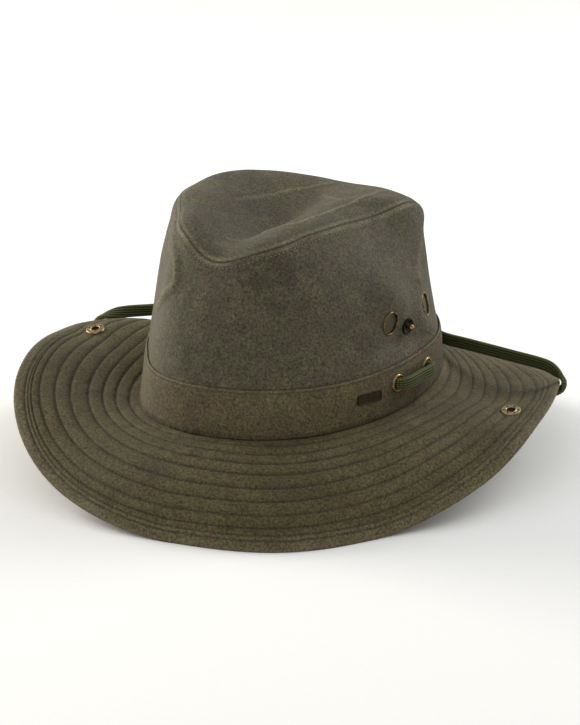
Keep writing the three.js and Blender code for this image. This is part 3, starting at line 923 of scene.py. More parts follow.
def make_knot(name, end, away):
    """The cord's end tied in an overhand knot, behind the grommet it can't go through."""
    turn = even_turns(KNOT_POINTS)
    # The trefoil curve, drawn out a little along the cord.
    loop = np.stack([
        np.sin(turn) + 2 * np.sin(2 * turn),
        np.cos(turn) - 2 * np.cos(2 * turn),
        -1.3 * np.sin(3 * turn),
    ], axis=1) * KNOT_REACH / 3
    tangent = unit(np.roll(loop, -1, axis=0) - np.roll(loop, 1, axis=0))
    side = unit(np.cross(tangent, [0, 0, 1.0]))
    top = np.cross(side, tangent)
    angle = even_turns(KNOT_SIDES)[None, :, None]
    ring = side[:, None] * np.cos(angle) + top[:, None] * np.sin(angle)
    points = loop[:, None] + ring * KNOT_STRAND
    axis = Vector(unit(away)).to_track_quat("Z", "Y").to_matrix()
    middle = end + unit(away) * (KNOT_STRAND + KNOT_REACH)
    points = points.reshape(-1, 3) @ np.array(axis).T + middle
    faces = [(a, *rest[::-1]) for a, *rest in ring_faces(KNOT_POINTS, KNOT_SIDES, closed=True)]
    piece = new_object(f"cord_knot_tied_{name}", points, faces)
    point = np.arange(KNOT_POINTS * KNOT_SIDES)
    across, along = KNOT_MAP_STEP
    braid_map(piece, point % KNOT_SIDES * across, point // KNOT_SIDES * along)
    return finish_piece(piece, CORD_BRAID, "cord_braid", f"cord_knot_{name}")


make_cord()


# Cloth.

STITCH = 1.7
STITCH_PITCH = 2.6
STITCH_DIVE = 0.25
THREAD_THICKNESS = 0.5
THREAD_LIFT = THREAD_THICKNESS * 0.3

# Topstitching: millimetres below the tip seam, below the band's top edge and above its foot.
TIP_TOPSTITCH = 3.3
BAND_TOPSTITCH = 1.7
BAND_FOOTSTITCH = 1.6
# Half width of the groove that the topstitching lies in.
GROOVE = 0.5

# Rows of stitching round the brim: the first row, the pitch, and the two rows of the hem.
BRIM_FIRST_ROW = 5.7
BRIM_ROW_PITCH = 7.6
BRIM_ROWS = [BRIM_FIRST_ROW + BRIM_ROW_PITCH * i for i in range(8)]
STITCHED_ROWS = [*BRIM_ROWS, 63.3, 66.3]
BRIM_PUFF = 0.52
BRIM_VALLEY = 0.25

# The rows wander: how many millimetres further out they lie on the wearer's right and at the
# front than where they started.
ROW_DRIFT = table(
    "out right front",
    (0, 0, 0),
    (5.7, 0.7, -1.7),
    (13.3, 1.2, -1.9),
    (20.9, 1.4, -2.4),
    (28.5, 2.6, -2.4),
    (36.1, 5.6, -1.1),
    (43.7, 6.8, -0.5),
    (51.3, 8.4, 0),
    (58.9, 5, 0),
    (63.3, 1.7, 0.3),
    (66.3, 0.5, 0.4),
    (73.3, 0, 0),
)
# The turn that each of these is greatest at, and how far it goes round on both sides.
DRIFT_PLACES = {"right": (286, 62), "front": (0, 48)}


def stitch_shape():
    """One stitch lying along X: thin at its ends, where it dives into the cloth."""
    rings = 5
    sides = 5
    verts = []
    for i in range(rings):
        x = (i / (rings - 1) - 0.5) * STITCH
        round_off = math.sqrt(max(1 - (2 * x / STITCH) ** 4, 0.03))
        for j in range(sides):
            angle = j / sides * FULL_TURN
            half = THREAD_THICKNESS / 2 * round_off
            dive = STITCH_DIVE * (1 - round_off)
            verts.append((x, math.cos(angle) * half, math.sin(angle) * half - dive))
    faces = ring_faces(rings, sides)
    faces.append(tuple(range(sides - 1, -1, -1)))
    faces.append(tuple((rings - 1) * sides + j for j in range(sides)))
    return np.array(verts), faces


def sew(name, thread, slot, rows):
    """One mesh of all the stitches in rows; a row is (points, normals) of a closed line."""
    shape, shape_faces = stitch_shape()
    verts = []
    faces = []
    for points, normals in rows:
        points = np.concatenate([points, points[:1]])
        normals = np.concatenate([normals, normals[:1]])
        places = even_steps(points, STITCH_PITCH)[:-1]
        middle = at_fraction(points, places)
        up = unit(at_fraction(normals, places))
        ahead = at_fraction(points, np.minimum(places + 0.3, len(points) - 1.001)) - middle
        ahead = unit(ahead - up * np.sum(ahead * up, axis=1, keepdims=True))
        beside = np.cross(up, ahead)
        axes = np.stack([ahead, beside, up], axis=1)
        placed = middle[:, None] + np.einsum("vi,nij->nvj", shape, axes)
        for i in range(len(middle)):
            start = len(verts) + i * len(shape)
            faces.extend(tuple(start + corner for corner in face) for face in shape_faces)
        verts.extend(placed.reshape(-1, 3))
    return finish_piece(new_object(name, verts, faces), thread, slot)


# Soft dents and folds of the crown's side: where, how wide, how tall and how far out.
SIDE_FOLDS = table(
    "turn rise half_width half_height out",
    (320, 0.78, 9, 0.2, -2.5),
    (118, 0.62, 8, 0.2, -2),
    (78, 0.64, 14, 0.12, 6),
    (78, 0.36, 13, 0.1, -3),
    (30, 0.5, 22, 0.25, -1.2),
    (4, 0.72, 14, 0.2, 0.9),
    (165, 0.55, 22, 0.3, -1.5),
    (215, 0.62, 18, 0.3, -1.5),
    (132, 0.92, 15, 0.07, 2.4),
    (290, 0.94, 35, 0.045, 1),
)

# Raised creases of the side: height, half width, how pale it is along its crest, where the wax is
# worn off and a highlight is painted, and the turn and rise of the points that it goes through.
# Those of the tip have no such paleness of their own, and the share of the way to its seam in the
# place of rise.
SIDE_CREASES = (
    (2, 2.2, 0.65, (
        (318, 0.96), (332, 0.92), (338.8, 0.87), (340.7, 0.8), (339.7, 0.745), (334, 0.68),
        (328, 0.61), (318, 0.54),
    )),
    (1.2, 3.5, 0.15, ((125, 0.8), (110, 0.68), (103, 0.62))),
    (1.7, 5.5, 0.15, ((102, 0.62), (94, 0.52), (94.5, 0.45), (103, 0.32))),
)
TIP_CREASES = (
    (0.7, 1.5, (
        (352, 0.66), (19, 0.6), (39, 0.76), (60, 0.73), (92, 0.7), (110, 0.7), (123, 0.68),
        (139, 0.75),
    )),
    (0.5, 1.3, ((264, 0.46), (226, 0.41), (196, 0.57), (175, 0.79))),
    (0.35, 1.2, ((168, 0.53), (137, 0.42), (113, 0.63))),
)
# How far the wax is rubbed off, and the painted highlight reaches, on each side of a crease of the
# side and of the tip.
SIDE_WEAR_AND_HIGHLIGHT_WIDTH = 1.7
TIP_WEAR_AND_HIGHLIGHT_WIDTH = 1.2

# The cloth leans under each fitting of the crown: millimetres that it stands out for each
# millimetre further round the hat, and for each millimetre up.
LEANS = table(
    "turn rise round up",
    (EYELET_TURNS[0], EYELET_RISE, -0.1, 0.21),
    (EYELET_TURNS[1], EYELET_RISE, -0.12, 0.08),
    (STUD_TURN, STUD_RISE, 0, 0.2),
)
LEAN_WIDTH = 11


def angle_between(turn, degrees):
    return (np.degrees(turn) - degrees + 180) % 360 - 180


def crease_line(surface, rows):
    turn, second = np.array(rows).T
    return surface(np.radians(turn), second)


def crests(base):
    """Height, and paleness from wear and a painted highlight, of the raised creases of the crown's
    side at points on its plain shape.
    """
    out = np.zeros(base.shape[:-1])
    worn_and_highlit = np.zeros(base.shape[:-1])
    for height, half_width, wear, rows in SIDE_CREASES:
        away = off_line(base, crease_line(crown_side, rows))
        out += height * bell(away, half_width)
        worn_and_highlit = np.maximum(worn_and_highlit, wear * bell(away, SIDE_WEAR_AND_HIGHLIGHT_WIDTH))
    return out, worn_and_highlit


def folded_crown(turn, rise):
    """The crown's side with its folds and creases."""
    base = crown_side(turn, rise)
    relief = np.zeros(base.shape[:-1])
    for at, height, half_width, half_height, out in zip(*SIDE_FOLDS.values()):
        relief += out * bell(angle_between(turn, at), half_width) * bell(rise - height, half_height)
    relief += crests(base)[0]
    for sign, back in SIDES.values():
        for at, height, lean_round, lean_up in zip(*LEANS.values()):
            further = np.radians(angle_between(turn, sign * (at + back))) * sign * HEAD_HALF_WIDTH
            above = (rise - height) * TIP_HEIGHT
            near = bell(np.hypot(further, above), LEAN_WIDTH)
            relief += (lean_round * further + lean_up * above) * near
    # Nothing moves at the foot, where the band holds the cloth, or at the tip seam.
    relief *= held((rise - 0.27) / 0.1) * held((1 - rise) / 0.03)
    return base + normal_of(crown_side, turn, rise) * relief[..., None]


# The shares of a turn and of the crown's height over which a fitting's slant is taken.
FACING_REACH = 0.045


def on_crown(side, turn, rise):
    """A fitting's place on the crown, and the way the cloth faces over the fitting's width."""
    angle = crown_angle(side, turn)
    return folded_crown(angle, rise), normal_of(folded_crown, angle, rise, FACING_REACH)


# Millimetres round a fitting over which the cloth lies flat.
CALM_REACH = 10
CROWN_FITTINGS = [
    on_crown(side, turn, rise)[0]
    for side in SIDES
    for turn, rise in (
        *((turn, EYELET_RISE) for turn in EYELET_TURNS),
        *((turn, GROMMET_RISE) for turn in GROMMET_TURNS),
        (STUD_TURN, STUD_RISE),
    )
] + [on_crown("left", PLATE_TURN, PLATE_RISE)[0]]


def near_fittings(points):
    """1 close to a fitting and 0 away from it, where the cloth lies flat under the metal."""
    calm = np.zeros(points.shape[:-1])
    for place in CROWN_FITTINGS:
        calm = np.maximum(calm, plateau(np.linalg.norm(points - place, axis=-1), CALM_REACH))
    return calm


# Soft lumps of the cloth: height and size in millimetres, and a seed.
SIDE_LUMPS = ((1.5, 34, 1), (0.5, 13, 2))
TIP_LUMPS = ((1.1, 30, 11), (0.5, 12, 12))
# How the cloth turns in beside a seam or at an edge: how far, and over what width.
SEAM_ROLL = (0.6, 0.9)
BAND_TOP_ROLL = (0.5, 1)
BAND_FOOT_ROLL = (0.9, 1.2)
# Low ridges and stitched grooves: height, distance from the seam or edge, and half width.
SIDE_RIDGES = ((0.1, 1.9, 1.1), (-0.25, TIP_TOPSTITCH, GROOVE))
TIP_RIDGES = ((0.15, 2, 1.2),)
BAND_TOP_RIDGES = ((0.15, 6, 5), (-0.35, BAND_TOPSTITCH, GROOVE))
BAND_FOOT_RIDGES = ((-0.4, BAND_FOOTSTITCH, 0.6),)
# How dark the painted shade is on the side of a cloth that faces the wearer's head.
INNER_SHADE = 0.25


def lumpy(points, rows):
    return sum(height * cloud(points, size, seed) for height, size, seed in rows)


def ridges(distance, rows):
    return sum(height * bell(distance - at, half_width) for height, at, half_width in rows)


def patchy(points, least, size, seed):
    """0 to 1 in soft patches of a size in millimetres, for wear that comes and goes."""
    return held(least + 2 * cloud(points, size, seed))


def turned_in(distance, depth, width):
    return depth * held(1 - distance / width) ** 2


def seam_shade(distance):
    """Painted shade: 1 in the gap of the tip seam and 0 beside it."""
    return held(1.2 - distance / 0.6)


def seam_wear(points, distance, width):
    """The wax that is rubbed off the rolled cloth beside the tip seam."""
    return 0.4 * bell(distance, width) * patchy(points, 0.6, 18, 7)


def wall_piece(name, face, inner):
    """A standing ring of cloth, its foot a gap above the brim, from its outer face and inside."""
    points, _, painted_shade, wear_and_highlight = face
    points[:, 0, 2] += GAP
    inner[:, -1, 2] += GAP
    # The inner face gets the painted shade of the inside, and neither wear nor highlight.
    blank = np.zeros(inner.shape[:2])
    return ring_piece(
        name,
        np.concatenate([points, inner], axis=1),
        np.concatenate([painted_shade, blank + INNER_SHADE], axis=1),
        np.concatenate([wear_and_highlight, blank], axis=1),
    )


CROWN_TURNS = even_turns(340)[:, None]
# Distances down the crown's side from the tip seam, close together at the seam's roll.
SEAM_STEPS = [0, 0.25, 0.5, 0.8, 1.1, 1.5, 2, 2.5, 2.9, 3.3, 3.7, 4.2, 5, 6, 7.4, 9]
SIDE_OUTER_ROWS = 56
SIDE_INNER_ROWS = 26


def crown_wall_face(turn, rise):
    """Outer face of the crown's side with its folds, seam roll and topstitched groove."""
    base = folded_crown(turn, rise)
    normal = normal_of(crown_side, turn, rise)
    below = np.broadcast_to((1 - rise) * TIP_HEIGHT, base.shape[:-1])
    # The band and the tip seam hold the cloth; it is free between them.
    free = held((rise - 0.26) / 0.2) * held((1 - rise) / 0.1)
    puckers = 0.1 * bell(below - 5, 2.2) * (1 + 1.6 * cloud(base, 3.2, 5))
    relief = lumpy(base, SIDE_LUMPS) * free * (1 - near_fittings(base)) + puckers
    relief += ridges(below, SIDE_RIDGES) - turned_in(below, *SEAM_ROLL)
    # Painted shade in the gap of the tip seam and in the topstitched groove.
    painted_shade = held(seam_shade(below) + 0.4 * bell(below - TIP_TOPSTITCH, GROOVE))
    # Wax rubbed off beside the seam, and crease crests pale from wear and a painted highlight.
    wear_and_highlight = np.maximum(seam_wear(base, below - 1.7, 1.1), crests(base)[1] * free)
    return base + normal * relief[..., None], normal, painted_shade, wear_and_highlight


def make_crown_side():
    down = np.linspace(SEAM_STEPS[-1], TIP_HEIGHT, SIDE_OUTER_ROWS + 1)[1:]
    rise = 1 - np.concatenate([SEAM_STEPS, down])[::-1] / TIP_HEIGHT
    inner, normal, _, _ = crown_wall_face(CROWN_TURNS, np.linspace(1, 0, SIDE_INNER_ROWS))
    inner = inner - normal * CROWN_CLOTH
    return wall_piece("crown_side_cloth", crown_wall_face(CROWN_TURNS, rise), inner)


def tip_relief(turn, share, points):
    """Height, painted shade in the seam's gap, and paleness from wear and painted crest highlights,
    of the tip's cloth.
    """
    inside = (1 - share) * around(CROWN, "reach", turn)
    crease = np.zeros(points.shape[:-1])
    worn_and_highlit = np.zeros(points.shape[:-1])
    for height, half_width, rows in TIP_CREASES:
        away = off_line(points[..., :2], crease_line(crown_tip, rows)[:, :2])
        crease = np.maximum(crease, height * bell(away, half_width))
        worn_and_highlit = np.maximum(worn_and_highlit, height * bell(away, TIP_WEAR_AND_HIGHLIGHT_WIDTH))
    relief = (lumpy(points, TIP_LUMPS) + crease) * held(inside / 12)
    relief += ridges(inside, TIP_RIDGES) - turned_in(inside, *SEAM_ROLL)
    # Wax rubbed off beside the seam, and crease crests pale from wear and a painted highlight.
    wear_and_highlight = np.maximum(seam_wear(points, inside - 1.8, 1.3), 0.5 * worn_and_highlit)
    return relief, seam_shade(inside), wear_and_highlight


TIP_TURNS = 300
TIP_RINGS = 150


def make_crown_tip():
    piece, turn, ring = lid_piece("crown_tip_cloth", TIP_TURNS, TIP_RINGS)
    on_top = ring <= 0.5 + 1e-6
    # The ball's equator becomes the seam, and its rings crowd together there.
    middle = np.abs(1 - 2 * ring)
    share = np.where(middle > 0.999, 0, 1 - middle ** 1.5)
    turn = np.where(share == 0, 0, turn)
    base = crown_tip(turn, share)
    up = -normal_of(crown_tip, turn, np.clip(share, 0.01, 0.999))
    up[share == 0] = (0, 0, 1)
    relief, painted_shade, wear_and_highlight = tip_relief(turn, share, base)
    under = np.where(on_top, 0, CROWN_CLOTH)
    set_points(piece, base + up * (relief - under)[:, None])
    # The underside gets the painted shade of the inside, and neither wear nor highlight.
    set_attribute(piece, "painted_shade", np.where(on_top, painted_shade, INNER_SHADE))
    set_attribute(piece, "wear_and_highlight", np.where(on_top, wear_and_highlight, 0))
    return piece


BAND_OUTER_ROWS = 34
BAND_INNER_ROWS = 8


def band_face(turn, up):
    """Outer face of the band; up is millimetres above its foot."""
    rise = up / (seam_height(turn) - seat_height(turn))
    base = crown_side(turn, rise, BAND_COVER)
    normal = normal_of(crown_side, turn, rise)
    up = np.broadcast_to(up, base.shape[:-1])
    from_top = BAND_HEIGHT - up
    puckers = 1.2 * cloud(base, 5, 24) * bell(up - 2.5, 2.5)
    relief = 0.7 * cloud(base, 30, 21) * held(up / 6) + puckers
    relief += ridges(from_top, BAND_TOP_RIDGES) + ridges(up, BAND_FOOT_RIDGES)
    relief -= turned_in(from_top, *BAND_TOP_ROLL) + turned_in(up, *BAND_FOOT_ROLL)
    relief *= 1 - 0.8 * near_fittings(base)
    # Painted shade in the topstitched groove and at the band's foot, where it meets the brim.
    painted_shade = held(0.3 * bell(from_top - BAND_TOPSTITCH, GROOVE) + 0.8 * held(1 - up / 1.6))
    wear_and_highlight = 0.2 * bell(from_top - 0.5, 0.7) * patchy(base, 0.5, 15, 23)
    return base + normal * relief[..., None], normal, painted_shade, wear_and_highlight


def make_band():
    share = (1 - np.cos(np.linspace(0, 1, BAND_OUTER_ROWS) * math.pi)) / 2
    up = np.linspace(1, 0, BAND_INNER_ROWS) * BAND_HEIGHT
    inner = crown_side(CROWN_TURNS, up / (seam_height(CROWN_TURNS) - seat_height(CROWN_TURNS)), GAP)
    return wall_piece("hat_band_cloth", band_face(CROWN_TURNS, share * BAND_HEIGHT), inner)


BRIM_TURNS = even_turns(420)
# Rings of the brim's mesh on each side of a row of stitches, close enough to show the row.
BRIM_RINGS = np.array([-2.6, -1.6, -0.9, -0.45, -0.15, 0.15, 0.45, 0.9, 1.6, 2.6])
RING_STEP = 0.3
BRIM_UNDER_ROWS = 52
BRIM_EDGE = 1.2
# The cloth stays this far above the surface that the hat stands on.
LOWEST = 0.05


def brim_relief(points, out, seed):
    """Soft puffs between the rows of stitching, with small puckers along them."""
    distance = np.abs(out[..., None] - np.array([-2, *STITCHED_ROWS])).min(axis=-1)
    half = np.where(out > BRIM_ROWS[-1] + 2, 2.4, BRIM_ROW_PITCH / 2)
    middle = held(distance / half)
    uneven = 1 + lumpy(points, ((1.1, 16, seed), (0.9, 6, seed + 1)))
    # The rows show less on the wearer's left.
    shown = 0.9 - 0.25 * points[..., 0] / 150
    relief = BRIM_PUFF * (0.25 - (1 - middle) ** 3) * uneven
    relief -= BRIM_VALLEY * shown * bell(distance, 0.7)
    relief += 0.7 * cloud(points, 4.2, seed + 2) * bell(distance, 2.6)
    relief += 0.9 * cloud(points, 40, seed + 3)
    relief *= held((BRIM_WIDTH - out) / 4) * held((out + 2) / 3)
    # Painted shade along the stitched rows, weaker on the wearer's left, with a faint spread beside
    # them.
    painted_shade = held(0.85 * shown * bell(distance, 0.42) + 0.05 * bell(distance, 1.6))
    # The wax is rubbed off the edge, the hem and, in patches, the puffs.
    wear_and_highlight = 0.4 * bell(BRIM_WIDTH - out, 1.6) + 0.3 * held((out - 61) / 3)
    wear_and_highlight += 0.6 * middle ** 2 * patchy(points, 0, 22, seed + 4)
    return relief, painted_shade, np.minimum(wear_and_highlight, 0.6)


def drifted(turn, out):
    """Where a place of the rows' own measure lies, in millimetres out from the crown."""
    further = np.zeros_like(out)
    for name, (middle, half_width) in DRIFT_PLACES.items():
        there = bell(angle_between(turn, middle), half_width)
        further = further + np.interp(out, ROW_DRIFT["out"], ROW_DRIFT[name]) * there
    return out + further


# The cloth under each snap socket leans forward: its slope, the way it falls and how far it does.
SOCKET_LEAN = 0.21
SOCKET_FALLS = {"left": np.array([0.43, -0.9, 0]), "right": np.array([-0.43, -0.9, 0])}
SOCKET_SPREAD = 13
SOCKET_CALM_REACH = 7


def socket_place(side):
    """Middle of a snap socket on the brim, and the way the leaning cloth faces there."""
    sign, _ = SIDES[side]
    turn = np.array([np.radians(sign * SOCKET_TURN)])
    point, normal = brim_face(turn, np.array([[SOCKET_OUT]]))
    return point[0, 0], unit(normal[0, 0] + SOCKET_LEAN * SOCKET_FALLS[side])


def round_sockets(points):
    """How far the leaning cloth stands up, and 1 close to a socket and 0 away from it."""
    lean = np.zeros(points.shape[:-1])
    calm = np.zeros(points.shape[:-1])
    for side in SIDES:
        away = points - socket_place(side)[0]
        distance = np.linalg.norm(away, axis=-1)
        lean -= SOCKET_LEAN * away @ SOCKET_FALLS[side] * bell(distance, SOCKET_SPREAD)
        calm = np.maximum(calm, plateau(distance, SOCKET_CALM_REACH))
    return lean, calm


def brim_top(turn, out):
    """Top face of the brim with its puffs, as (m, n) rows and turns."""
    points, normal = brim_face(turn, drifted(turn, out))
    lean, calm = round_sockets(points)
    relief, painted_shade, wear_and_highlight = brim_relief(points, out, 31)
    relief = relief * (1 - calm) + lean
    return points + normal * relief[..., None], normal, painted_shade * (1 - calm), wear_and_highlight


def brim_under(turn, out):
    """Underside of the brim, made in the same way."""
    points, normal = brim_face(turn, drifted(turn, out))
    relief, painted_shade, wear_and_highlight = brim_relief(points, out, 41)
    relief = relief - round_sockets(points)[0]
    return points - normal * (BRIM_CLOTH + relief)[..., None], -normal, painted_shade, wear_and_highlight


def make_brim():
    last = BRIM_WIDTH - BRIM_EDGE
    rings = np.add.outer(STITCHED_ROWS, BRIM_RINGS).ravel()
    rings = np.concatenate([np.linspace(-BRIM_LEDGE, 2, 7), rings, np.linspace(69.5, last, 4)])
    out_top = np.unique(np.round(rings / RING_STEP) * RING_STEP)[::-1]
    out_under = np.linspace(-BRIM_LEDGE, last, BRIM_UNDER_ROWS)

    def all_round(values):
        return np.repeat(np.array(values)[:, None], len(BRIM_TURNS), axis=1)

    top, normal, painted_shade_top, wear_and_highlight_top = brim_top(BRIM_TURNS, all_round(out_top))
    under, _, painted_shade_under, wear_and_highlight_under = brim_under(BRIM_TURNS, all_round(out_under))
    ahead, _ = brim_face(BRIM_TURNS, all_round([last, BRIM_WIDTH]))
    outward = unit(ahead[1] - ahead[0])
    core = ahead[0] - normal[0] * BRIM_CLOTH / 2
    angles = np.radians([-60, -30, 0, 30, 60])
    edge = np.array([
        core + (outward * math.cos(a) + normal[0] * math.sin(a)) * BRIM_EDGE for a in angles
    ])
    points = np.concatenate([edge, top, under])
    points[..., 2] = np.maximum(points[..., 2], LOWEST)
    calm = np.zeros(edge.shape[:2])
    return ring_piece(
        "brim_cloth",
        points.transpose(1, 0, 2),
        np.concatenate([calm, painted_shade_top, painted_shade_under]).T,
        np.concatenate([calm + 0.35, wear_and_highlight_top, wear_and_highlight_under]).T,
    )


# Fittings.

# The slot of the brass fittings.
BRASS = "antique_brass"
FITTING_SIDES = 40
# Height of a rolled rim, as a share of that of a round one.
RIM_FLATNESS = 0.75
# Radius of a turned piece where it closes on its axis.
CLOSED = 0.01
SHARP_ANGLE = math.radians(38)


def turned(name, profile, sides):
    """A turned piece, drawn out ring by ring from one circle: profile is (radius, height) in mm."""
    radius, height = profile[0]
    piece = primitive(
        name, bpy.ops.mesh.primitive_circle_add,
        vertices=sides, radius=radius * MM, location=(0, 0, height * MM),
    )
    bpy.ops.object.transform_apply(location=True, rotation=True, scale=True)
    edit_all()
    for (r0, h0), (r1, h1) in zip(profile, profile[1:]):
        bpy.ops.mesh.extrude_region_move(TRANSFORM_OT_translate={"value": (0, 0, (h1 - h0) * MM)})
        if r1 != r0:
            bpy.ops.transform.resize(value=(r1 / r0, r1 / r0, 1), center_override=(0, 0, h1 * MM))
    close_up(0.01 * MM)
    return piece


def arc(middle, radius, start, end, steps):
    """Points of a round edge of a profile, angles in degrees from straight out."""
    return [
        (middle[0] + radius * math.cos(a), middle[1] + radius * math.sin(a))
        for a in np.radians(np.linspace(start, end, steps))
    ]


def place_at(piece, where, normal):
    """Stands a piece made about Z on a face, and puts its place into its mesh."""
    up = Vector(normal)
    along = Vector((0, 0, 1)).cross(up).normalized()
    axes = Matrix((along, up.cross(along), up)).transposed().to_4x4()
    piece.data.transform(Matrix.Translation(Vector(where) * MM) @ axes)
    piece.data.shade_smooth()
    make_active(piece)
    bpy.ops.object.shade_smooth_by_angle(angle=SHARP_ANGLE)
    return piece


def fitting(name, profile, sides, where, material, slot, *nodes):
    """A turned piece in its place on the cloth."""
    piece = place_at(turned(name, profile, sides), *where)
    return finish_piece(piece, material, slot, *nodes)


def ring_profile(hole, flange, seat):
    """A rolled brass ring with its barrel going down into the cloth."""
    roll = (flange - hole) / 2
    rim = arc((hole + roll, seat + 0.05), roll, 0, 180, 9)
    rim = [(x, seat + (z - seat) * RIM_FLATNESS) for x, z in rim]
    barrel = hole + 0.35
    bottom = -CROWN_CLOTH - 0.5
    return [
        (flange, seat - 1), *rim, (hole, seat - 0.6), (hole, bottom),
        (barrel, bottom), (barrel, seat - 1), (flange, seat - 1),
    ]


def make_fittings():
    eyelet_ring = ring_profile(EYELET_HOLE, EYELET_FLANGE, FLANGE_SEAT)
    gauze_disc = [(CLOSED, -0.9), (EYELET_HOLE, -0.9), (EYELET_HOLE, -0.6), (CLOSED, -0.6)]
    grommet_ring = ring_profile(GROMMET_HOLE, GROMMET_FLANGE, BAND_COVER + FLANGE_SEAT)
    for side in SIDES:
        for end, eyelet_turn, grommet_turn in zip(ENDS, EYELET_TURNS, GROMMET_TURNS):
            eyelet = on_crown(side, eyelet_turn, EYELET_RISE)
            grommet = on_crown(side, grommet_turn, GROMMET_RISE)
            for name, node, profile, where, *finish in (
                ("vent_eyelet", "eyelet", eyelet_ring, eyelet, BROWNED_BRASS, BRASS),
                ("vent_gauze", "eyelet_screen", gauze_disc, eyelet, GAUZE, "metal_gauze"),
                ("brass_grommet", "cord_grommet", grommet_ring, grommet, ANTIQUE_BRASS, BRASS),
            ):
                place = f"_{side}_{end}"
                fitting(name + place, profile, FITTING_SIDES, where, *finish, node + place)
        make_stud(side)
        make_socket(side)
    make_plate()


def make_stud(side):
    """The male half of a snap: a dished washer and a ball on a short neck."""
    seat = FLANGE_SEAT
    dish = [
        (CLOSED, seat - 0.5), (4.8, seat - 0.5), *arc((4.35, seat + 0.35), 0.45, -40, 130, 6),
        (3.3, seat + 0.25), (2.1, seat + 0.05), (1.5, seat + 0.1), (CLOSED, seat + 0.1),
    ]
    ball = [
        (CLOSED, seat), (1.2, seat), (1.1, seat + 1.3), *arc((0, seat + 2.4), 1.75, -40, 84, 8),
        (CLOSED, seat + 4.15),
    ]
    where = on_crown(side, STUD_TURN, STUD_RISE)
    fitting(f"stud_dish_{side}", dish, 36, where, BLACK_BRASS, "dark_metal", f"snap_stud_{side}")
    fitting(f"stud_ball_{side}", ball, 24, where, ANTIQUE_BRASS, BRASS)


PITS = 6
PIT_CIRCLE = 4.2
PIT_FIRST_ANGLE = 0.3


def make_socket(side):
    """The female half of a snap: a rolled ring with a dark cup and a circle of small pits."""
    ring = [
        (2.6, 0.2), (5.7, 0.2), *arc((5.3, 0.75), 0.4, -50, 100, 5), (4.6, 1.12), (3.5, 0.98),
        *arc((3.0, 0.85), 0.4, 90, 200, 5), (2.6, 0.2),
    ]
    cup = [(CLOSED, 0.1), (2.9, 0.1), (2.9, 0.45), (1.4, 0.35), (CLOSED, 0.3)]
    dot = [(CLOSED, 1.0), (0.6, 1.0), (0.5, 1.2), (CLOSED, 1.22)]
    where = socket_place(side)
    socket = f"socket_ring_{side}"
    fitting(socket, ring, FITTING_SIDES, where, PALE_BRASS, BRASS, f"snap_socket_{side}")
    fitting(f"socket_cup_{side}", cup, 24, where, BLACK_BRASS, "dark_metal")
    pits = []
    for angle in even_turns(PITS) + PIT_FIRST_ANGLE:
        pit = turned(f"socket_pit_{side}", dot, 10)
        across = Vector((math.cos(angle), math.sin(angle), 0)) * PIT_CIRCLE * MM
        pit.data.transform(Matrix.Translation(across))
        pits.append(pit)
    finish_piece(place_at(joined(pits), *where), BLACK_BRASS, "dark_metal")


PLATE_CORNER = 1.2
PLATE_RIM = 0.55
PLATE_SLOPE = 0.2
PLATE_DEPTH = 0.35


def make_plate():
    """A small plain plate with a raised rim, where a badge would be."""
    piece = primitive("band_plate_plain", bpy.ops.mesh.primitive_cube_add, size=1)
    length, width, thickness = (value * MM for value in PLATE_SIZE)
    bpy.ops.transform.resize(value=(length, width, thickness))
    bpy.ops.object.transform_apply(location=True, rotation=True, scale=True)

    def upright(edge):
        low, high = sorted(piece.data.vertices[i].co.z for i in edge.vertices)
        return high - low > thickness / 2

    edit_some(piece, "EDGE", "edges", upright)
    bpy.ops.mesh.bevel(offset=PLATE_CORNER * MM, segments=5)
    edit_some(piece, "FACE", "polygons", lambda face: face.normal.z > 0.9)
    bpy.ops.mesh.inset(thickness=PLATE_RIM * MM, depth=0)
    bpy.ops.mesh.inset(thickness=PLATE_SLOPE * MM, depth=-PLATE_DEPTH * MM)
    bpy.ops.object.mode_set(mode="OBJECT")
    point, normal = on_crown("left", PLATE_TURN, PLATE_RISE)
    point = point + normal * (BAND_COVER + FLANGE_SEAT + PLATE_SIZE[2] / 2)
    place_at(piece, point, normal)
    finish_piece(piece, DARK_BRONZE, "dark_metal", "band_plate")


CUTTER_LENGTH = 12
# The holes in the cloth are wider than those of the fittings by this much all round.
HOLE_ROOM = 0.45


def cut_holes(piece, holes):
    """Cuts a round hole through a cloth for each fitting: holes are (radius, point, normal)."""
    cutters = []
    for radius, point, normal in holes:
        cutter = primitive(
            "cutter", bpy.ops.mesh.primitive_cylinder_add,
            vertices=FITTING_SIDES, radius=radius * MM, depth=CUTTER_LENGTH * MM,
        )
        axes = Vector(normal).to_track_quat("Z", "Y").to_matrix().to_4x4()
        cutter.data.transform(Matrix.Translation(Vector(point) * MM) @ axes)
        cutters.append(cutter)
    cutter = joined(cutters)
    make_active(piece)
    cut = piece.modifiers.new("holes", "BOOLEAN")
    cut.operation = "DIFFERENCE"
    cut.object = cutter
    cut.solver = "EXACT"
    bpy.ops.object.modifier_apply(modifier=cut.name)
    bpy.data.objects.remove(cutter, do_unlink=True)


def make_cloth():
    grommets = []
    eyelets = []
    for side in SIDES:
        for turn in GROMMET_TURNS:
            grommets.append((GROMMET_HOLE + HOLE_ROOM, *on_crown(side, turn, GROMMET_RISE)))
        for turn in EYELET_TURNS:
            eyelets.append((EYELET_HOLE + HOLE_ROOM, *on_crown(side, turn, EYELET_RISE)))
    wall = make_crown_side()
    cut_holes(wall, grommets + eyelets)
    finish_piece(wall, CROWN_OILSKIN, "crown_cloth", "crown_side")
    finish_piece(make_crown_tip(), CROWN_OILSKIN, "crown_cloth", "crown_tip")
    band = make_band()
    cut_holes(band, grommets)
    finish_piece(band, BAND_OILSKIN, "band_cloth", "hat_band")
    finish_piece(make_brim(), BRIM_OILSKIN, "brim_cloth", "brim")


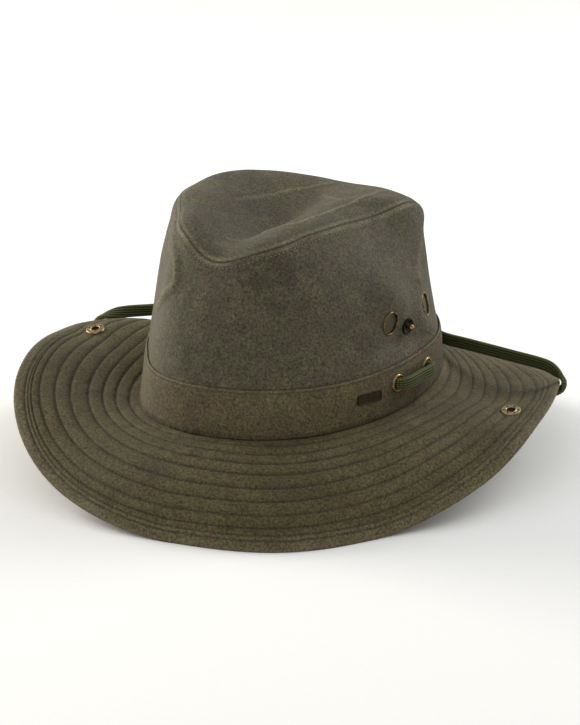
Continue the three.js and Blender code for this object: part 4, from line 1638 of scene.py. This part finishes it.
STITCH_TURNS = even_turns(720)


def stitch_rows(face, *places):
    """Rows of stitches on a face of cloth, at values of its second argument."""
    rows = []
    for place in places:
        points, normal, _, _ = face(STITCH_TURNS, np.full((1, len(STITCH_TURNS)), place))
        rows.append(((points + normal * THREAD_LIFT)[0], normal[0]))
    return rows


def make_stitching():
    tip_row = stitch_rows(crown_wall_face, 1 - TIP_TOPSTITCH / TIP_HEIGHT)
    band_rows = stitch_rows(band_face, BAND_HEIGHT - BAND_TOPSTITCH, BAND_FOOTSTITCH)
    sew("crown_topstitching", PALE_THREAD, "crown_cloth", tip_row)
    sew("band_stitching", DARK_THREAD, "band_cloth", band_rows)
    for name, face in (("brim_stitching", brim_top), ("brim_stitching_under", brim_under)):
        sew(name, DARK_THREAD, "brim_cloth", stitch_rows(face, *STITCHED_ROWS))


make_cloth()
make_stitching()
make_fittings()


# Floor and light.


def paper(name):
    """A pale sweep of studio paper."""
    material, tree, shader, where = start_material(name)
    fibres = add(tree, "TexNoise", where, per_mm(4), 2.0, 0.6)
    tone = add(tree, "Mix", fibres, "f4f4f2", "f8f8f6")
    feed(tree, shader, {"Base Color": tone, "Roughness": 0.9})
    return material


SKY_STRENGTH = 0.47


def make_stage():
    floor = primitive("floor", bpy.ops.mesh.primitive_plane_add, size=12, location=(0, 0, 0))
    floor.data.materials.append(paper("studio paper"))
    world = bpy.data.worlds.new("studio")
    bpy.context.scene.world = world
    world.use_nodes = True
    sky = world.node_tree.nodes["Background"]
    feed(world.node_tree, sky, {"Color": "ffffff", "Strength": SKY_STRENGTH})


LIGHT_AIM = Vector((0, 0, 0.08))


def soft_box(name, azimuth, elevation, distance, size, power, tone):
    """A square soft light aimed at the hat."""
    back = towards(math.radians(azimuth), math.radians(elevation))
    data = bpy.data.lights.new(name, "AREA")
    data.size = size
    data.energy = power
    data.color = colour(tone)[:3]
    lamp = add_object(name, data)
    lamp.location = LIGHT_AIM + back * distance
    lamp.rotation_euler = back.to_track_quat("Z", "Y").to_euler()


make_stage()
# Name, azimuth and elevation in degrees, distance and size in metres, power in watts and colour.
for light in (
    ("left light", -93, 20, 1.6, 0.9, 26.5, "fffaf0"),
    ("back light", 145, 35, 1.8, 1.0, 18, "ffffff"),
    ("front light", 5, 45, 1.6, 0.9, 3, "ffffff"),
):
    soft_box(*light)

bpy.context.scene.view_settings.view_transform = "Standard"
